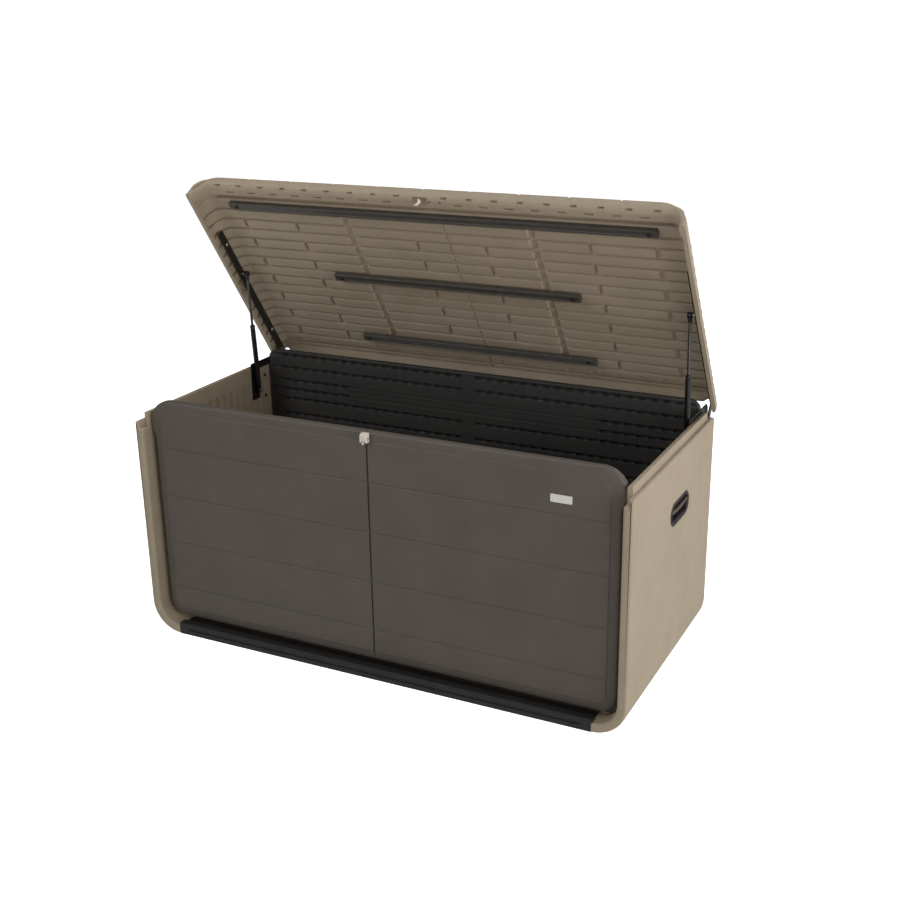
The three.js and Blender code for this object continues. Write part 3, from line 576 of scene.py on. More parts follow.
def side_panel(hand):
    low = node_box(f"{hand}_side_panel")[0]
    edge = 8 * MM
    sections = []
    for k in range(6):
        turn = math.pi / 2 * k / 5
        sections.append((edge * (1 - math.cos(turn)), SIDE_WALL, -RIM_NOTCH, edge * (1 - math.sin(turn))))
    sections += [(RIM_DEPTH - 1 * MM, SIDE_WALL, -RIM_NOTCH, 0),
                 (RIM_DEPTH, SIDE_WALL, -RIM_NOTCH + 1 * MM, 0),
                 (RIM_DEPTH + 0.5 * MM, SIDE_WALL, LIP_HEIGHT, 0)]
    ribs = ([RIB_PITCH * (i - 8) for i in range(17)], 12 * MM, 3 * MM)
    places = [(low.y + depth, wall, lip, inset) for depth, wall, lip, inset in sections]
    stop = -low.y - RIM_DEPTH - 32 * MM
    for y in stations(-stop, stop, [ribs], 1.0, steps=3):
        places.append((y, SIDE_WALL - RIB_SINK * float(bands(np.array([y]), *ribs)[0]), LIP_HEIGHT, 0))
    places += [(-y, wall, lip, inset) for y, wall, lip, inset in reversed(places[:len(sections)])]
    body = through([across_y(side_outline(wall, lip, inset), y) for y, wall, lip, inset in places])
    cup_low, cup_high = node_box(f"{hand}_handle_cup")
    centre = ((cup_low.y + cup_high.y) / 2, (cup_low.z + cup_high.z) / 2)
    size = cup_high.y - cup_low.y - 15 * MM, cup_high.z - cup_low.z - 15 * MM
    body = carve(body, [through([across_x(long_hole(centre, *size), x)
                                 for x in (SIDE_INNER - 0.01, HALF_LENGTH + 0.01)])])
    if HANDS[hand] < 0:
        mirrored(body)
    show(f"{hand}_side_panel_moulded", body, "box", "sand_moulded_plastic", [f"{hand}_side_panel"])


# ---- Floor panel ----
def floor_panel():
    kerb = 27 * MM
    deck = floor_high.z - 9 * MM
    front, rear = floor_low.y, floor_high.y
    section = [(front, 0, 2 * MM), (rear, 0, 2 * MM), (rear, floor_high.z, 3 * MM),
               (rear - kerb, floor_high.z, 3 * MM), (rear - kerb, deck, 1 * MM)]
    for i in range(5, -6, -1):
        y = i * 58 * MM
        section += [(y + 5 * MM, deck, 1 * MM), (y + 3 * MM, deck - 3 * MM, 1 * MM),
                    (y - 3 * MM, deck - 3 * MM, 1 * MM), (y - 5 * MM, deck, 1 * MM)]
    section += [(front + kerb, deck, 1 * MM), (front + kerb, floor_high.z, 3 * MM),
                (front, floor_high.z, 3 * MM)]
    body = plate(lambda inset: rounded(section, inset, steps=3), across_x, floor_low.x, floor_high.x,
                 0.8 * MM)
    # A shallow step runs along the outside of each kerb.
    steps = []
    for face, side in ((front, -1), (rear, 1)):
        near, far = sorted((face + side * 4 * MM, face - side * 2.5 * MM))
        ledge = rounded(corners(near, 15 * MM, far, 22 * MM))
        steps.append(through([across_x(ledge, x) for x in (floor_low.x + 0.03, floor_high.x - 0.03)]))
    # The floor takes the darker copy of its charcoal plastic: painted shade under the box.
    show("floor_panel_moulded", carve(body, steps), "box", "charcoal_moulded_plastic", ["floor_panel"],
         look="charcoal_plastic_painted_shade")


# ---- Lid ----
LID_PLATE = 26 * MM
LID_OUTER_CORNER = 84 * MM
LID_INNER_CORNER = 40 * MM
LID_SKIRT = 12 * MM
LID_BORDER = 37 * MM
LID_BORDER_DROP = 14 * MM
REAR_SKIRT = 12 * MM
REAR_SKIRT_DROP = 24 * MM
SLAT_PITCH = 39.5 * MM
SLAT_SINK = 7.5 * MM
SLAT_CROWN = 1.3 * MM
LID_REACH = -lid_low.y
SLAT_GROOVES = ([(38.75 + 39.5 * i) * MM for i in range(16)], 6.5 * MM, 2.6 * MM)
BORDER_GROOVE = ([682 * MM], 9 * MM, 2 * MM)
TICKED_SLATS = [98 * MM + i * 2 * SLAT_PITCH for i in range(7)]
TICKS_BY_SLAT = ([-652 * MM, -466 * MM, 465 * MM, 655 * MM], 10 * MM, 1.6 * MM)
TICKS_INNER = ([-71 * MM, 147 * MM], 10 * MM, 1.6 * MM)
CROSS_CHANNELS = ([-288 * MM, 300 * MM], 17 * MM, 4 * MM)
LID_SEAM = ([35 * MM], 1.5 * MM, 2 * MM)
SEAM_HOLES = ([106 * MM, 310 * MM, 500 * MM], 5 * MM, 1.5 * MM)
DIMPLES = ([side * (73 + 75.7 * i) * MM for i in range(9) for side in (-1, 1)], 14 * MM, 2.5 * MM)
FRONT_DIMPLE = ([LID_REACH - 8 * MM], 4 * MM, 1.3 * MM)
EDGE_MARKS = ([side * (111 + 75.7 * i) * MM for i in range(8) for side in (-1, 1)], 24 * MM, 4 * MM)
EDGE_MARK_ROW = ([LID_REACH - 28 * MM], 3 * MM, 2 * MM)
LOCK_HOLES = ([28 * MM, 60 * MM], 6 * MM, 1.5 * MM)
LOCK_HOLE_ROW = ([LID_REACH - 20 * MM], 6 * MM, 1.5 * MM)
NOSE_UNDER = 20 * MM
NOSE_TOP = 14 * MM
REAR_DIMPLE = ([55 * MM], 4 * MM, 2.5 * MM)
LID_GROOVES = ([i * 144 * MM for i in range(-4, 5)], 5 * MM, 1.5 * MM)


def lid_panel():
    """The lid's two skins on one grid: rows run from hinge to front edge, columns from skirt to skirt."""
    top, foot, half = lid_high.z, lid_low.z, lid_high.x
    under = top - LID_PLATE
    inner_x = half - LID_SKIRT - LID_INNER_CORNER
    outer_x = half - LID_OUTER_CORNER
    inner_z, outer_z = under - LID_INNER_CORNER, top - LID_OUTER_CORNER
    x = stations(-inner_x, inner_x, [TICKS_BY_SLAT, TICKS_INNER, CROSS_CHANNELS, LID_SEAM, DIMPLES,
                                     EDGE_MARKS, LOCK_HOLES, LID_GROOVES, ([0.0], 44 * MM, 1 * MM)],
                 60 * MM, steps=2)
    edge = 7 * MM
    round_rows = [LID_REACH - NOSE_UNDER * (1 - math.sin(t)) for t in np.linspace(0, math.pi / 2, 10)]
    u = stations(-lid_high.y, LID_REACH, [SLAT_GROOVES, BORDER_GROOVE, SEAM_HOLES, FRONT_DIMPLE, REAR_DIMPLE,
                                          EDGE_MARK_ROW, LOCK_HOLE_ROW,
                                          ([LID_REACH - LID_BORDER - 1 * MM], 0, 2 * MM),
                                          ([-lid_high.y + REAR_SKIRT], 0, 2 * MM)], 9 * MM, steps=3)
    u = np.unique(np.round(np.concatenate([u, round_rows]), 6))

    # Each column: a point of the inner and the outer skin and the way from one to the other.
    bends = np.linspace(0, math.pi / 2, 13)
    flat_outer = np.interp(x, [-inner_x, -0.66, 0.66, inner_x], [-outer_x, -0.66, 0.66, outer_x])
    columns = [(xi, under, xo, top, 0.0, 1.0) for xi, xo in zip(x, flat_outer)]
    right = [(inner_x + LID_INNER_CORNER * math.sin(a), inner_z + LID_INNER_CORNER * math.cos(a),
              outer_x + LID_OUTER_CORNER * math.sin(a), outer_z + LID_OUTER_CORNER * math.cos(a),
              math.sin(a), math.cos(a)) for a in bends[1:]]
    for k in range(1, 5):
        share = k / 4
        right.append((half - LID_SKIRT, inner_z + (foot - inner_z) * share,
                      half, outer_z + (foot - outer_z) * share, 1.0, 0.0))
    left = [(-xi, zi, -xo, zo, -nx, nz) for xi, zi, xo, zo, nx, nz in reversed(right)]
    inner_px, inner_pz, outer_px, outer_pz, way_x, way_z = np.array(left + columns + right).T

    # Sinking of the inner skin, towards the outer one, and of the outer skin, towards the inner one.
    flat = (np.abs(inner_px) < inner_x + 1e-6).astype(float)
    skirt = ramp(inner_pz, foot + 6 * MM, foot + 18 * MM)
    row = u[:, None]
    ticked = np.zeros((len(u), len(inner_px)))
    half_slat = SLAT_PITCH / 2 - SLAT_GROOVES[1] / 2
    for i, slat in enumerate(TICKED_SLATS):
        own = (np.abs(row - slat) < half_slat).astype(float)
        ticked = np.maximum(ticked, own * bands(inner_px, *TICKS_BY_SLAT)[None, :])
        shifted = slat + (SLAT_PITCH if i > 3 else 0)
        own = (np.abs(row - shifted) < half_slat).astype(float)
        if i != 0 and i != 6:
            ticked = np.maximum(ticked, own * bands(inner_px, *TICKS_INNER)[None, :])
    slatted = (row > 20 * MM) & (row < 640 * MM)
    cross = bands(inner_px, *CROSS_CHANNELS)[None, :] * ((row > 118 * MM) & (row < 631 * MM))
    seam = bands(inner_px, *LID_SEAM)[None, :] * slatted
    sink = np.maximum(bands(row, *SLAT_GROOVES) * skirt[None, :], ticked * flat[None, :])
    sink = np.maximum(sink, cross * flat[None, :] * 0.95)
    sink = np.maximum(sink, 0.5 * seam * flat[None, :])
    sink = sink * SLAT_SINK + 6 * MM * bands(row, *SEAM_HOLES) * bands(inner_px, [35 * MM], 5 * MM,
                                                                      1.5 * MM)[None, :] * flat[None, :]
    joints = np.array(SLAT_GROOVES[0])
    nearest = np.abs(row - joints[None, :]).min(axis=1)[:, None]
    bulge = 1 - np.clip(nearest / (SLAT_PITCH / 2), 0, 1)
    sink = sink + SLAT_CROWN * bulge ** 2 * slatted * skirt[None, :]
    sink = sink + 9 * MM * bands(row, *BORDER_GROOVE) * (0.3 + 0.7 * flat * skirt)[None, :]
    dimple = bands(inner_px, *DIMPLES)[None, :] * flat[None, :]
    sink = sink + 9 * MM * dimple * (bands(row, *FRONT_DIMPLE) + bands(row, *REAR_DIMPLE))
    sink = sink + 7 * MM * (bands(inner_px, *EDGE_MARKS) * flat)[None, :] * bands(row, *EDGE_MARK_ROW)
    sink = sink + 7 * MM * (bands(inner_px, *LOCK_HOLES) * flat)[None, :] * bands(row, *LOCK_HOLE_ROW)
    border = ramp(row, LID_REACH - LID_BORDER - 2 * MM, LID_REACH - LID_BORDER)
    # A pocket in the border leaves room for the lock staple when the lid is shut.
    pocket = (np.abs(inner_px) < 22.2 * MM)[None, :] * (row < LID_REACH - 10 * MM)
    border_drop = LID_BORDER_DROP * (0.35 + 0.65 * ramp(inner_pz, foot, under - 10 * MM))
    sink = sink - border * border_drop[None, :] * (1 - pocket)
    rear = 1 - ramp(row, -lid_high.y + REAR_SKIRT - 1 * MM, -lid_high.y + REAR_SKIRT + 1 * MM)
    rear_drop = REAR_SKIRT_DROP * (1 - ramp(np.abs(inner_px), inner_x + 8 * MM, inner_x + 26 * MM))
    sink = sink - rear * rear_drop[None, :]
    # The front edge is a broad nose. It is thinner on the skirts, where there is less wall to round.
    past = np.clip(row - (LID_REACH - NOSE_UNDER), 0, NOSE_UNDER) / NOSE_UNDER
    past_top = np.clip(row - (LID_REACH - NOSE_TOP), 0, NOSE_TOP) / NOSE_TOP
    body = ramp(inner_pz, foot, under - 10 * MM)[None, :]
    sink = sink + NOSE_UNDER * (0.3 + 0.7 * body) * (1 - np.sqrt(1 - past ** 2)) * (1 - 0.3 * pocket)
    outer_sink = 3 * MM * bands(outer_px, *LID_GROOVES)[None, :] * flat[None, :]
    outer_sink = outer_sink + NOSE_TOP * (0.45 + 0.55 * body) * (1 - np.sqrt(1 - past_top ** 2))
    past_rear = np.clip((-lid_high.y + edge) - row, 0, edge) / edge
    outer_sink = outer_sink + edge * (1 - np.sqrt(1 - past_rear ** 2))

    def skin(px, pz, shift):
        return np.stack([px[None, :] + way_x[None, :] * shift, -np.broadcast_to(row, shift.shape),
                         pz[None, :] + way_z[None, :] * shift], -1)

    mesh = between(skin(inner_px, inner_pz, sink), skin(outer_px, outer_pz, -outer_sink))
    mesh.transform(LID_PLACE)
    show("lid_panel_moulded", mesh, "lid", "sand_moulded_plastic", ["lid_panel"], sharp=40)


# ---- Steel channels under the lid ----
def lid_channel(node):
    """A rolled channel with round-cornered ends and a shallow bead along its face."""
    low, high = node_box(node, LID_PLACE)
    corner = 4 * MM

    def outline(inset):
        return rounded(corners(low.x, low.y, high.x, high.y, corner), inset)

    bead = 7 * MM
    steps = [(0.0, high.z), (0.0, low.z + 3 * MM), (0.9 * MM, low.z + 0.9 * MM), (3 * MM, low.z),
             (bead - 1.2 * MM, low.z), (bead, low.z + 1.6 * MM), (bead + 0.5 * MM, low.z + 1.8 * MM)]
    hollow = [(2.5 * MM, high.z), (2.5 * MM, low.z + 5 * MM), (3.5 * MM, low.z + 4.3 * MM)]
    rings = [across_z(outline(d), z) for d, z in reversed(hollow)]
    rings += [across_z(outline(d), z) for d, z in steps]
    return through(rings, LID_PLACE)


# ---- Turned pieces: screws, pins, studs and struts ----
def toward(start, direction):
    """Places something drawn along +Z so that it starts at a point and runs in a direction."""
    turn = Vector(direction).to_track_quat("Z", "Y").to_matrix().to_4x4()
    return Matrix.Translation(start) @ turn


def near_end(low, high, side):
    """Middle of the end of a box that a piece starts from when it runs along X towards `side`."""
    return Vector((low.x if side > 0 else high.x, (low.y + high.y) / 2, (low.z + high.z) / 2))


SCREW_HEAD = 6 * MM
SCREW_SHANK = 2.4 * MM


def cross_head_screw(place, length, head=SCREW_HEAD, shank=SCREW_SHANK):
    """A pan head with a cross recess, and a plain shank that ends in a short point."""
    height = 3 * MM
    dome = [(head * math.sin(a), height * (1 - math.cos(a)) * 0.75) for a in np.linspace(0.12, 1.5, 7)]
    profile = dome + [(head, height), (shank, height), (shank, length - 2 * MM), (0.4 * MM, length)]
    body = turned(profile, steps=28)
    blades = []
    for quarter in range(2):
        blade = [across_z(rounded(corners(-w, -0.55 * MM, w, 0.55 * MM)), z)
                 for w, z in ((2.8 * MM, -1 * MM), (1.6 * MM, 1.9 * MM))]
        blades.append(through(blade, Matrix.Rotation(math.pi / 2 * quarter + 0.6, 4, "Z")))
    body = carve(body, blades)
    body.transform(place)
    return body


def rounded_pin(radius, length, edge=0.8 * MM):
    return [(radius - edge, 0), (radius - 0.3 * edge, 0.3 * edge), (radius, edge), (radius, length - edge),
            (radius - 0.3 * edge, length - 0.3 * edge), (radius - edge, length)]


def side_fasteners(hand, side):
    """Screws along X. Their heads are on the inside of the box."""
    groups = ((("hinge_plate_bolt_1", "hinge_plate_bolt_2", "corner_screw_1", "corner_screw_2"),
               "box", "black_coated_steel", Matrix()),
              (("lid_rail_bolt_1", "lid_rail_bolt_2"), "lid", "zinc_plated_steel", LID_PLACE))
    for names, body, slot, place in groups:
        for name in names:
            node = f"{hand}_{name}"
            low, high = node_box(node, place)
            start = toward(near_end(low, high, side), (side, 0, 0))
            show(f"{node}_turned", cross_head_screw(place @ start, high.x - low.x), body, slot, [node])


def channel_screws():
    for row in ("front", "middle", "rear"):
        for hand in HANDS:
            node = f"lid_{row}_channel_{hand}_screw"
            low, high = node_box(node, LID_PLACE)
            start = Vector(((low.x + high.x) / 2, (low.y + high.y) / 2, low.z))
            screw = cross_head_screw(LID_PLACE @ toward(start, (0, 0, 1)), high.z - low.z)
            show(f"{node}_turned", screw, "lid", "black_coated_steel", [node])


def hinge_and_studs(hand, side):
    low, high = node_box(f"{hand}_hinge_pin")
    start = near_end(low, high, side)
    head, head_height, shaft, length = 7 * MM, 4 * MM, 4 * MM, high.x - low.x
    profile = [(head - 2 * MM, 0), (head - 0.6 * MM, 0.6 * MM), (head, 2 * MM), (head, head_height),
               (shaft, head_height), (shaft, length - 1 * MM), (shaft - 1 * MM, length)]
    show(f"{hand}_hinge_pin_turned", turned(profile, toward(start, (side, 0, 0))), "box",
         "zinc_plated_steel", [f"{hand}_hinge_pin"])

    low, high = node_box(f"{hand}_strut_lower_stud")
    start = near_end(low, high, -side)
    length = high.x - low.x
    profile = [(3 * MM, 0), (4 * MM, 0.6 * MM), (4 * MM, length - 3 * MM), (6.5 * MM, length - 3 * MM),
               (6.5 * MM, length - 1.5 * MM), (5 * MM, length - 0.4 * MM), (3 * MM, length)]
    show(f"{hand}_strut_lower_stud_turned", turned(profile, toward(start, (-side, 0, 0))), "box",
         "zinc_plated_steel", [f"{hand}_strut_lower_stud"])

    low, high = node_box(f"{hand}_strut_upper_stud", LID_PLACE)
    start = near_end(low, high, side)
    length = high.x - low.x
    collar = length - 3.3 * MM
    profile = [(3.4 * MM, 0), (4.6 * MM, 0.8 * MM), (5 * MM, 1.6 * MM), (5 * MM, collar),
               (2.4 * MM, collar), (2.4 * MM, length - 0.3 * MM), (2 * MM, length)]
    show(f"{hand}_strut_upper_stud_turned", turned(profile, LID_PLACE @ toward(start, (side, 0, 0))),
         "lid", "zinc_plated_steel", [f"{hand}_strut_upper_stud"])


def gas_strut(hand):
    """Tube with a rolled neck, polished rod, and a moulded socket on each end."""
    axis = Vector(joint(f"{hand}_strut_slide")["axis"])
    pivot = Vector(joint(f"{hand}_strut_swing")["pos_m"])
    place = Matrix.Translation(pivot) @ Matrix.Rotation(math.atan2(-axis.y, axis.z), 4, "X")

    low, high = node_box(f"{hand}_strut_tube", place)
    radius, neck, mouth = high.x, 2.2 * MM, 4.3 * MM
    outside = [(radius - 1.5 * MM, low.z), (radius - 0.4 * MM, low.z + 0.5 * MM), (radius, low.z + 2 * MM),
               (radius, high.z - 14 * MM), (radius - 1 * MM, high.z - 12.5 * MM),
               (radius - 1 * MM, high.z - 11 * MM), (radius, high.z - 9.5 * MM),
               (radius, high.z - neck), (radius - 0.8 * MM, high.z - 0.7 * MM), (mouth + 1.2 * MM, high.z)]
    inside = [(mouth, high.z - 0.6 * MM), (mouth, high.z - 4 * MM), (6.8 * MM, high.z - 4 * MM),
              (6.8 * MM, low.z + 4 * MM)]
    show(f"{hand}_strut_tube_drawn", turned(outside + inside, place, 40), f"{hand}_strut_cylinder",
         "black_coated_steel", [f"{hand}_strut_tube"])

    low, high = node_box(f"{hand}_strut_rod", place)
    piston = 6.5 * MM
    profile = [(piston - 0.6 * MM, low.z), (piston, low.z + 0.6 * MM), (piston, low.z + 7.4 * MM),
               (4 * MM, low.z + 8 * MM), (4 * MM, high.z - 0.5 * MM), (3.5 * MM, high.z)]
    show(f"{hand}_strut_rod_ground", turned(profile, place, 40), f"{hand}_strut_piston",
         "strut_rod_steel", [f"{hand}_strut_rod"])

    for end, body, hole in (("lower", "cylinder", 4.3 * MM), ("upper", "piston", 0)):
        node = f"{hand}_strut_{end}_eye"
        low, high = node_box(node, place)
        barrel_z = 0 if end == "lower" else high.z - 9 * MM
        width = high.x - low.x
        barrel = turned(rounded_pin(9 * MM, width, 1.6 * MM),
                        toward(Vector((low.x, 0, barrel_z)), (1, 0, 0)))
        start, stop = (0, high.z) if end == "lower" else (low.z, barrel_z)
        neck_rings = [(5.2 * MM, start), (6 * MM, start + 1 * MM), (6 * MM, stop - 1 * MM),
                      (5.2 * MM, stop)]
        joined = carve(barrel, [turned(neck_rings)], "UNION")
        if hole:
            bore = turned([(hole, -0.02), (hole, 0.02)], toward(Vector((0, 0, 0)), (1, 0, 0)))
            joined = carve(joined, [bore])
        joined.transform(place)
        show(f"{node}_moulded", joined, f"{hand}_strut_{body}", "black_coated_steel", [node])


# ---- Handles ----
def handle(hand, side):
    """A cup with a rolled rim let into the side panel, and a finger grip that bridges it."""
    low, high = node_box("right_handle_cup")
    centre = ((low.y + high.y) / 2, (low.z + high.z) / 2)
    length, height = high.y - low.y, high.z - low.z
    flange_back = high.x - 2.5 * MM
    shape = [(9 * MM, low.x), (8.2 * MM, low.x + 1 * MM), (8 * MM, flange_back), (0.0, flange_back),
             (0.2 * MM, high.x - 1.2 * MM), (1.4 * MM, high.x - 0.2 * MM), (3 * MM, high.x),
             (6 * MM, high.x - 0.2 * MM), (8.6 * MM, high.x - 1.4 * MM), (10.4 * MM, high.x - 4 * MM),
             (11.2 * MM, low.x + 8 * MM), (12.5 * MM, low.x + 4.5 * MM), (15 * MM, low.x + 3 * MM)]
    cup = through([across_x(long_hole(centre, length, height, d), x) for d, x in shape])
    low, high = node_box("right_handle_grip")
    middle = ((low.y + high.y) / 2, (low.z + high.z) / 2)
    reach, rise = (high.y - low.y) / 2, (high.z - low.z) / 2

    def leaf(inset):
        """Grip outline: deep in the middle, drawn out to a tip at each end."""
        tip = reach - inset
        under = [(middle[0] + tip * t, middle[1] - (rise - inset) * (0.15 + 0.85 * (1 - t * t)))
                 for t in np.linspace(-1, 1, 17)]
        over = [(middle[0] + tip * t, middle[1] + (rise - inset) * (0.55 + 0.45 * abs(t) ** 1.5))
                for t in np.linspace(0.94, -0.94, 15)]
        return under + over

    grip = plate(leaf, across_x, low.x, high.x, 2.5 * MM, steps=4)
    # The cup wears a darker copy of the charcoal plastic, for painted shade in its hollow, and the grip a
    # lighter one, for a painted highlight.
    for name, mesh, node, look in (("handle_cup_moulded", cup, "handle_cup", "charcoal_plastic_painted_cup_shade"),
                                   ("handle_grip_moulded", grip, "handle_grip", "charcoal_plastic_painted_grip_highlight")):
        if side < 0:
            mirrored(mesh)
        show(f"{hand}_{name}", mesh, "box", "charcoal_moulded_plastic", [f"{hand}_{node}"], look=look)


# ---- Lock and label ----
def lock_staple():
    """A pressed bracket: a rounded hood with a hole for a padlock, and a leg down one side."""
    low, high = node_box("lock_staple")
    half = 11.5 * MM
    hood_foot = high.z - 26 * MM

    def section(inset):
        return rounded([(low.y, hood_foot, 3 * MM), (high.y, hood_foot, 0), (high.y, high.z, 0),
                        (low.y, high.z, 10 * MM)], inset, steps=8)

    def leg(inset):
        return rounded([(-half, low.z, 2 * MM), (-half + 6 * MM, low.z, 2 * MM),
                        (-half + 6 * MM, high.z - 9 * MM, 0), (-half, high.z - 9 * MM, 0)], inset)

    hood = plate(section, across_x, -half, half, 3 * MM, steps=5)
    body = carve(hood, [plate(leg, across_y, high.y - 5 * MM, high.y, 0.8 * MM)], "UNION")
    hole_y, hole_z = (low.y + high.y) / 2 - 1 * MM, hood_foot + 11 * MM
    hole = turned([(4.5 * MM, -0.03), (4.5 * MM, 0.03)], toward(Vector((0, hole_y, hole_z)), (1, 0, 0)))
    arch = [(8 * MM * math.cos(a), hood_foot + 7 * MM * math.sin(a)) for a in np.linspace(0, math.pi, 13)]
    arch = [(8 * MM, hood_foot - 5 * MM)] + arch + [(-8 * MM, hood_foot - 5 * MM)]
    under = through([across_y(arch, y) for y in (low.y - 0.01, high.y - 4 * MM)])
    show("lock_staple_pressed", carve(body, [hole, under]), "box", "lock_metal", ["lock_staple"])


def lock_tab():
    """The lid's hook for the lock: a curved tongue that stands out from the lid."""
    low, high = node_box("lid_lock_tab", LID_PLACE)
    middle = (low.z + high.z) / 2
    sweep = np.linspace(1.25, -1.25, 17)

    def crescent(inset):
        def point(angle, side):
            half_width = 1.4 * MM + 2.8 * MM * math.cos(angle) - inset
            radius = 11.8 * MM + side * half_width
            return -7 * MM + radius * math.cos(angle), middle + radius * math.sin(angle)
        return [point(a, -1) for a in sweep] + [point(a, 1) for a in reversed(sweep)]

    mesh = plate(crescent, across_y, low.y, high.y, 0.8 * MM)
    mesh.transform(LID_PLACE)
    show("lid_lock_tab_pressed", mesh, "lid", "lock_metal", ["lid_lock_tab"])


def blank_label():
    low, high = node_box("label_plate")

    def outline(inset):
        return rounded(corners(low.x, low.z, high.x, high.z, 3 * MM), inset)

    steps = [(0.6 * MM, high.y), (0.0, high.y - 0.3 * MM), (0.0, low.y + 0.5 * MM), (0.5 * MM, low.y),
             (2.2 * MM, low.y), (2.6 * MM, low.y + 0.4 * MM)]
    show("label_plate_blank", through([across_y(outline(d), y) for d, y in steps]), "box",
         "label_plastic", ["label_plate"])


# ---- Build ----
long_panel("front_panel", front_low.y, front_high.y, 72 * MM, "brown_moulded_plastic")
long_panel("back_panel", back_high.y, back_low.y, 34 * MM, "charcoal_moulded_plastic")
floor_panel()
lid_panel()
lock_staple()
lock_tab()
blank_label()
channel_screws()
for row in ("front", "middle", "rear"):
    show(f"lid_{row}_channel_rolled", lid_channel(f"lid_{row}_channel"), "lid", "channel_steel",
         [f"lid_{row}_channel"])
for hand, side in HANDS.items():
    side_panel(hand)
    handle(hand, side)
    side_fasteners(hand, side)
    hinge_and_studs(hand, side)
    gas_strut(hand)
    show(f"{hand}_hinge_plate_cut", softened(f"{hand}_hinge_plate", 0.6 * MM), "box",
         "black_coated_steel", [f"{hand}_hinge_plate"])
    show(f"{hand}_lid_rail_cut", softened(f"{hand}_lid_rail", 0.6 * MM), "lid",
         "black_coated_steel", [f"{hand}_lid_rail"])


# ---- Stage, light and camera ----
def white_sweep():
    """A round pale floor that curves up into a wall all round, like a photographer's sweep."""
    flat, curve, count = 7.0, 4, 96
    profile = [(0.01, 0.0), (3.0, 0.0), (flat, 0.0)]
    profile += [(flat + curve * math.sin(a), curve * (1 - math.cos(a))) for a in np.linspace(0.1, 1.5, 14)]
    angles = np.linspace(0, 2 * math.pi, count, endpoint=False)
    vertices = [(r * math.cos(a), r * math.sin(a), z) for r, z in profile for a in angles]
    faces = [list(range(count))]
    for start in range(0, len(vertices) - count, count):
        faces += [[start + i, start + (i + 1) % count, start + count + (i + 1) % count, start + count + i]
                  for i in range(count)]
    mesh = bpy.data.meshes.new("white_sweep")
    mesh.from_pydata(vertices, [], faces)
    mesh.polygons.foreach_set("use_smooth", [True] * len(mesh.polygons))
    sweep = bpy.data.objects.new("white_sweep", mesh)
    bpy.context.scene.collection.objects.link(sweep)
    material, tree, _ = new_material("sweep_paper")
    shader = add(tree, "ShaderNodeBsdfPrincipled", {"Base Color": linear("#e8e8e6"), "Roughness": 0.9,
                                                    "Emission Color": linear("#ffffff"),
                                                    "Emission Strength": 1.0})
    add(tree, "ShaderNodeOutputMaterial", {"Surface": shader.outputs[0]})
    mesh.materials.append(material)
    # The paper glows by itself: white for the camera, no light on the box, and no shadow of the box on it.
    sweep.visible_diffuse = sweep.visible_glossy = False
    sweep.visible_transmission = sweep.visible_shadow = False


def soft_light(name, location, target, size, power):
    lamp = bpy.data.lights.new(name, "AREA")
    lamp.shape, lamp.size, lamp.energy = "DISK", size, power
    light = bpy.data.objects.new(name, lamp)
    light.location = location
    light.rotation_euler = (Vector(target) - Vector(location)).to_track_quat("-Z", "Y").to_euler()
    bpy.context.scene.collection.objects.link(light)


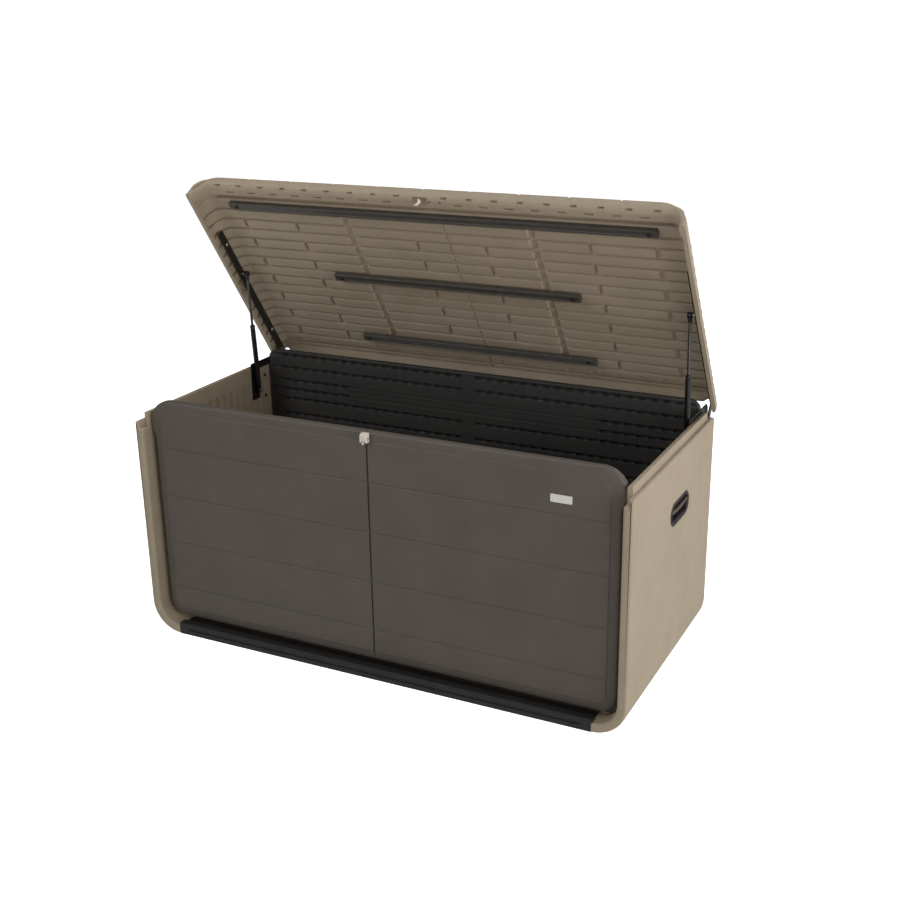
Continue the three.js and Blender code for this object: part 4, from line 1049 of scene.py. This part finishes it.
def studio_bounce(below, above):
    """Light from all round: strong from the white floor below, weak from the dark ceiling."""
    world = bpy.data.worlds.new("studio_bounce")
    world.use_nodes = True
    tree = world.node_tree
    tree.nodes.clear()
    way = add(tree, "ShaderNodeTexCoord").outputs["Generated"]
    height = add(tree, "ShaderNodeSeparateXYZ", {0: way}).outputs["Z"]
    strength = add(tree, "ShaderNodeMapRange", {"Value": height, "From Min": -0.08, "From Max": 0.12,
                                                "To Min": below, "To Max": above},
                   interpolation_type="SMOOTHSTEP")
    glow = add(tree, "ShaderNodeBackground", {"Color": linear("#ffffff"),
                                              "Strength": strength.outputs["Result"]})
    add(tree, "ShaderNodeOutputWorld", {"Surface": glow.outputs[0]})
    bpy.context.scene.world = world


CAMERA_AT = (1.6739, -3.1480, 1.8326)
CAMERA_AZIMUTH = math.radians(26.7314)
CAMERA_ELEVATION = math.radians(19.8318)
CAMERA_ROLL = math.radians(-0.9176)
CAMERA_LENS = 51.537
CAMERA_SHIFT = (-0.000842, 0.01019)


def camera():
    """Looks along the object's front-right corner from above, level but for a slight roll."""
    back = Vector((math.sin(CAMERA_AZIMUTH) * math.cos(CAMERA_ELEVATION),
                   -math.cos(CAMERA_AZIMUTH) * math.cos(CAMERA_ELEVATION), math.sin(CAMERA_ELEVATION)))
    across = Vector((0, 0, 1)).cross(back).normalized()
    up = back.cross(across)
    across, up = (math.cos(CAMERA_ROLL) * across + math.sin(CAMERA_ROLL) * up,
                  -math.sin(CAMERA_ROLL) * across + math.cos(CAMERA_ROLL) * up)
    lens = bpy.data.cameras.new("camera")
    lens.lens, lens.sensor_width = CAMERA_LENS, 36
    lens.shift_x, lens.shift_y = CAMERA_SHIFT
    view = bpy.data.objects.new("camera", lens)
    view.matrix_world = Matrix.Translation(CAMERA_AT) @ Matrix((across, up, back)).transposed().to_4x4()
    bpy.context.scene.collection.objects.link(view)
    bpy.context.scene.camera = view


white_sweep()
studio_bounce(0.52, 0.04)
soft_light("right_softbox", (4.5, 0.2, 1.15), (0, 0, 0.5), 2.6, 72)
soft_light("front_right_softbox", (3.6, -1.8, 1.0), (0, 0, 0.5), 2.0, 36)
soft_light("front_softbox", (0.3, -5, 1.8), (0, 0, 0.5), 2.6, 18)
soft_light("overhead_softbox", (0, 0.4, 4.6), (0, 0, 0.4), 3.4, 58)
soft_light("high_left_softbox", (-2.0, -2.8, 3.8), (0, 0, 0.5), 2.4, 54)
soft_light("back_softbox", (0.5, 4.5, 2.6), (0, 0, 0.5), 2.6, 120)
camera()
bpy.context.scene.view_settings.view_transform = "Standard"
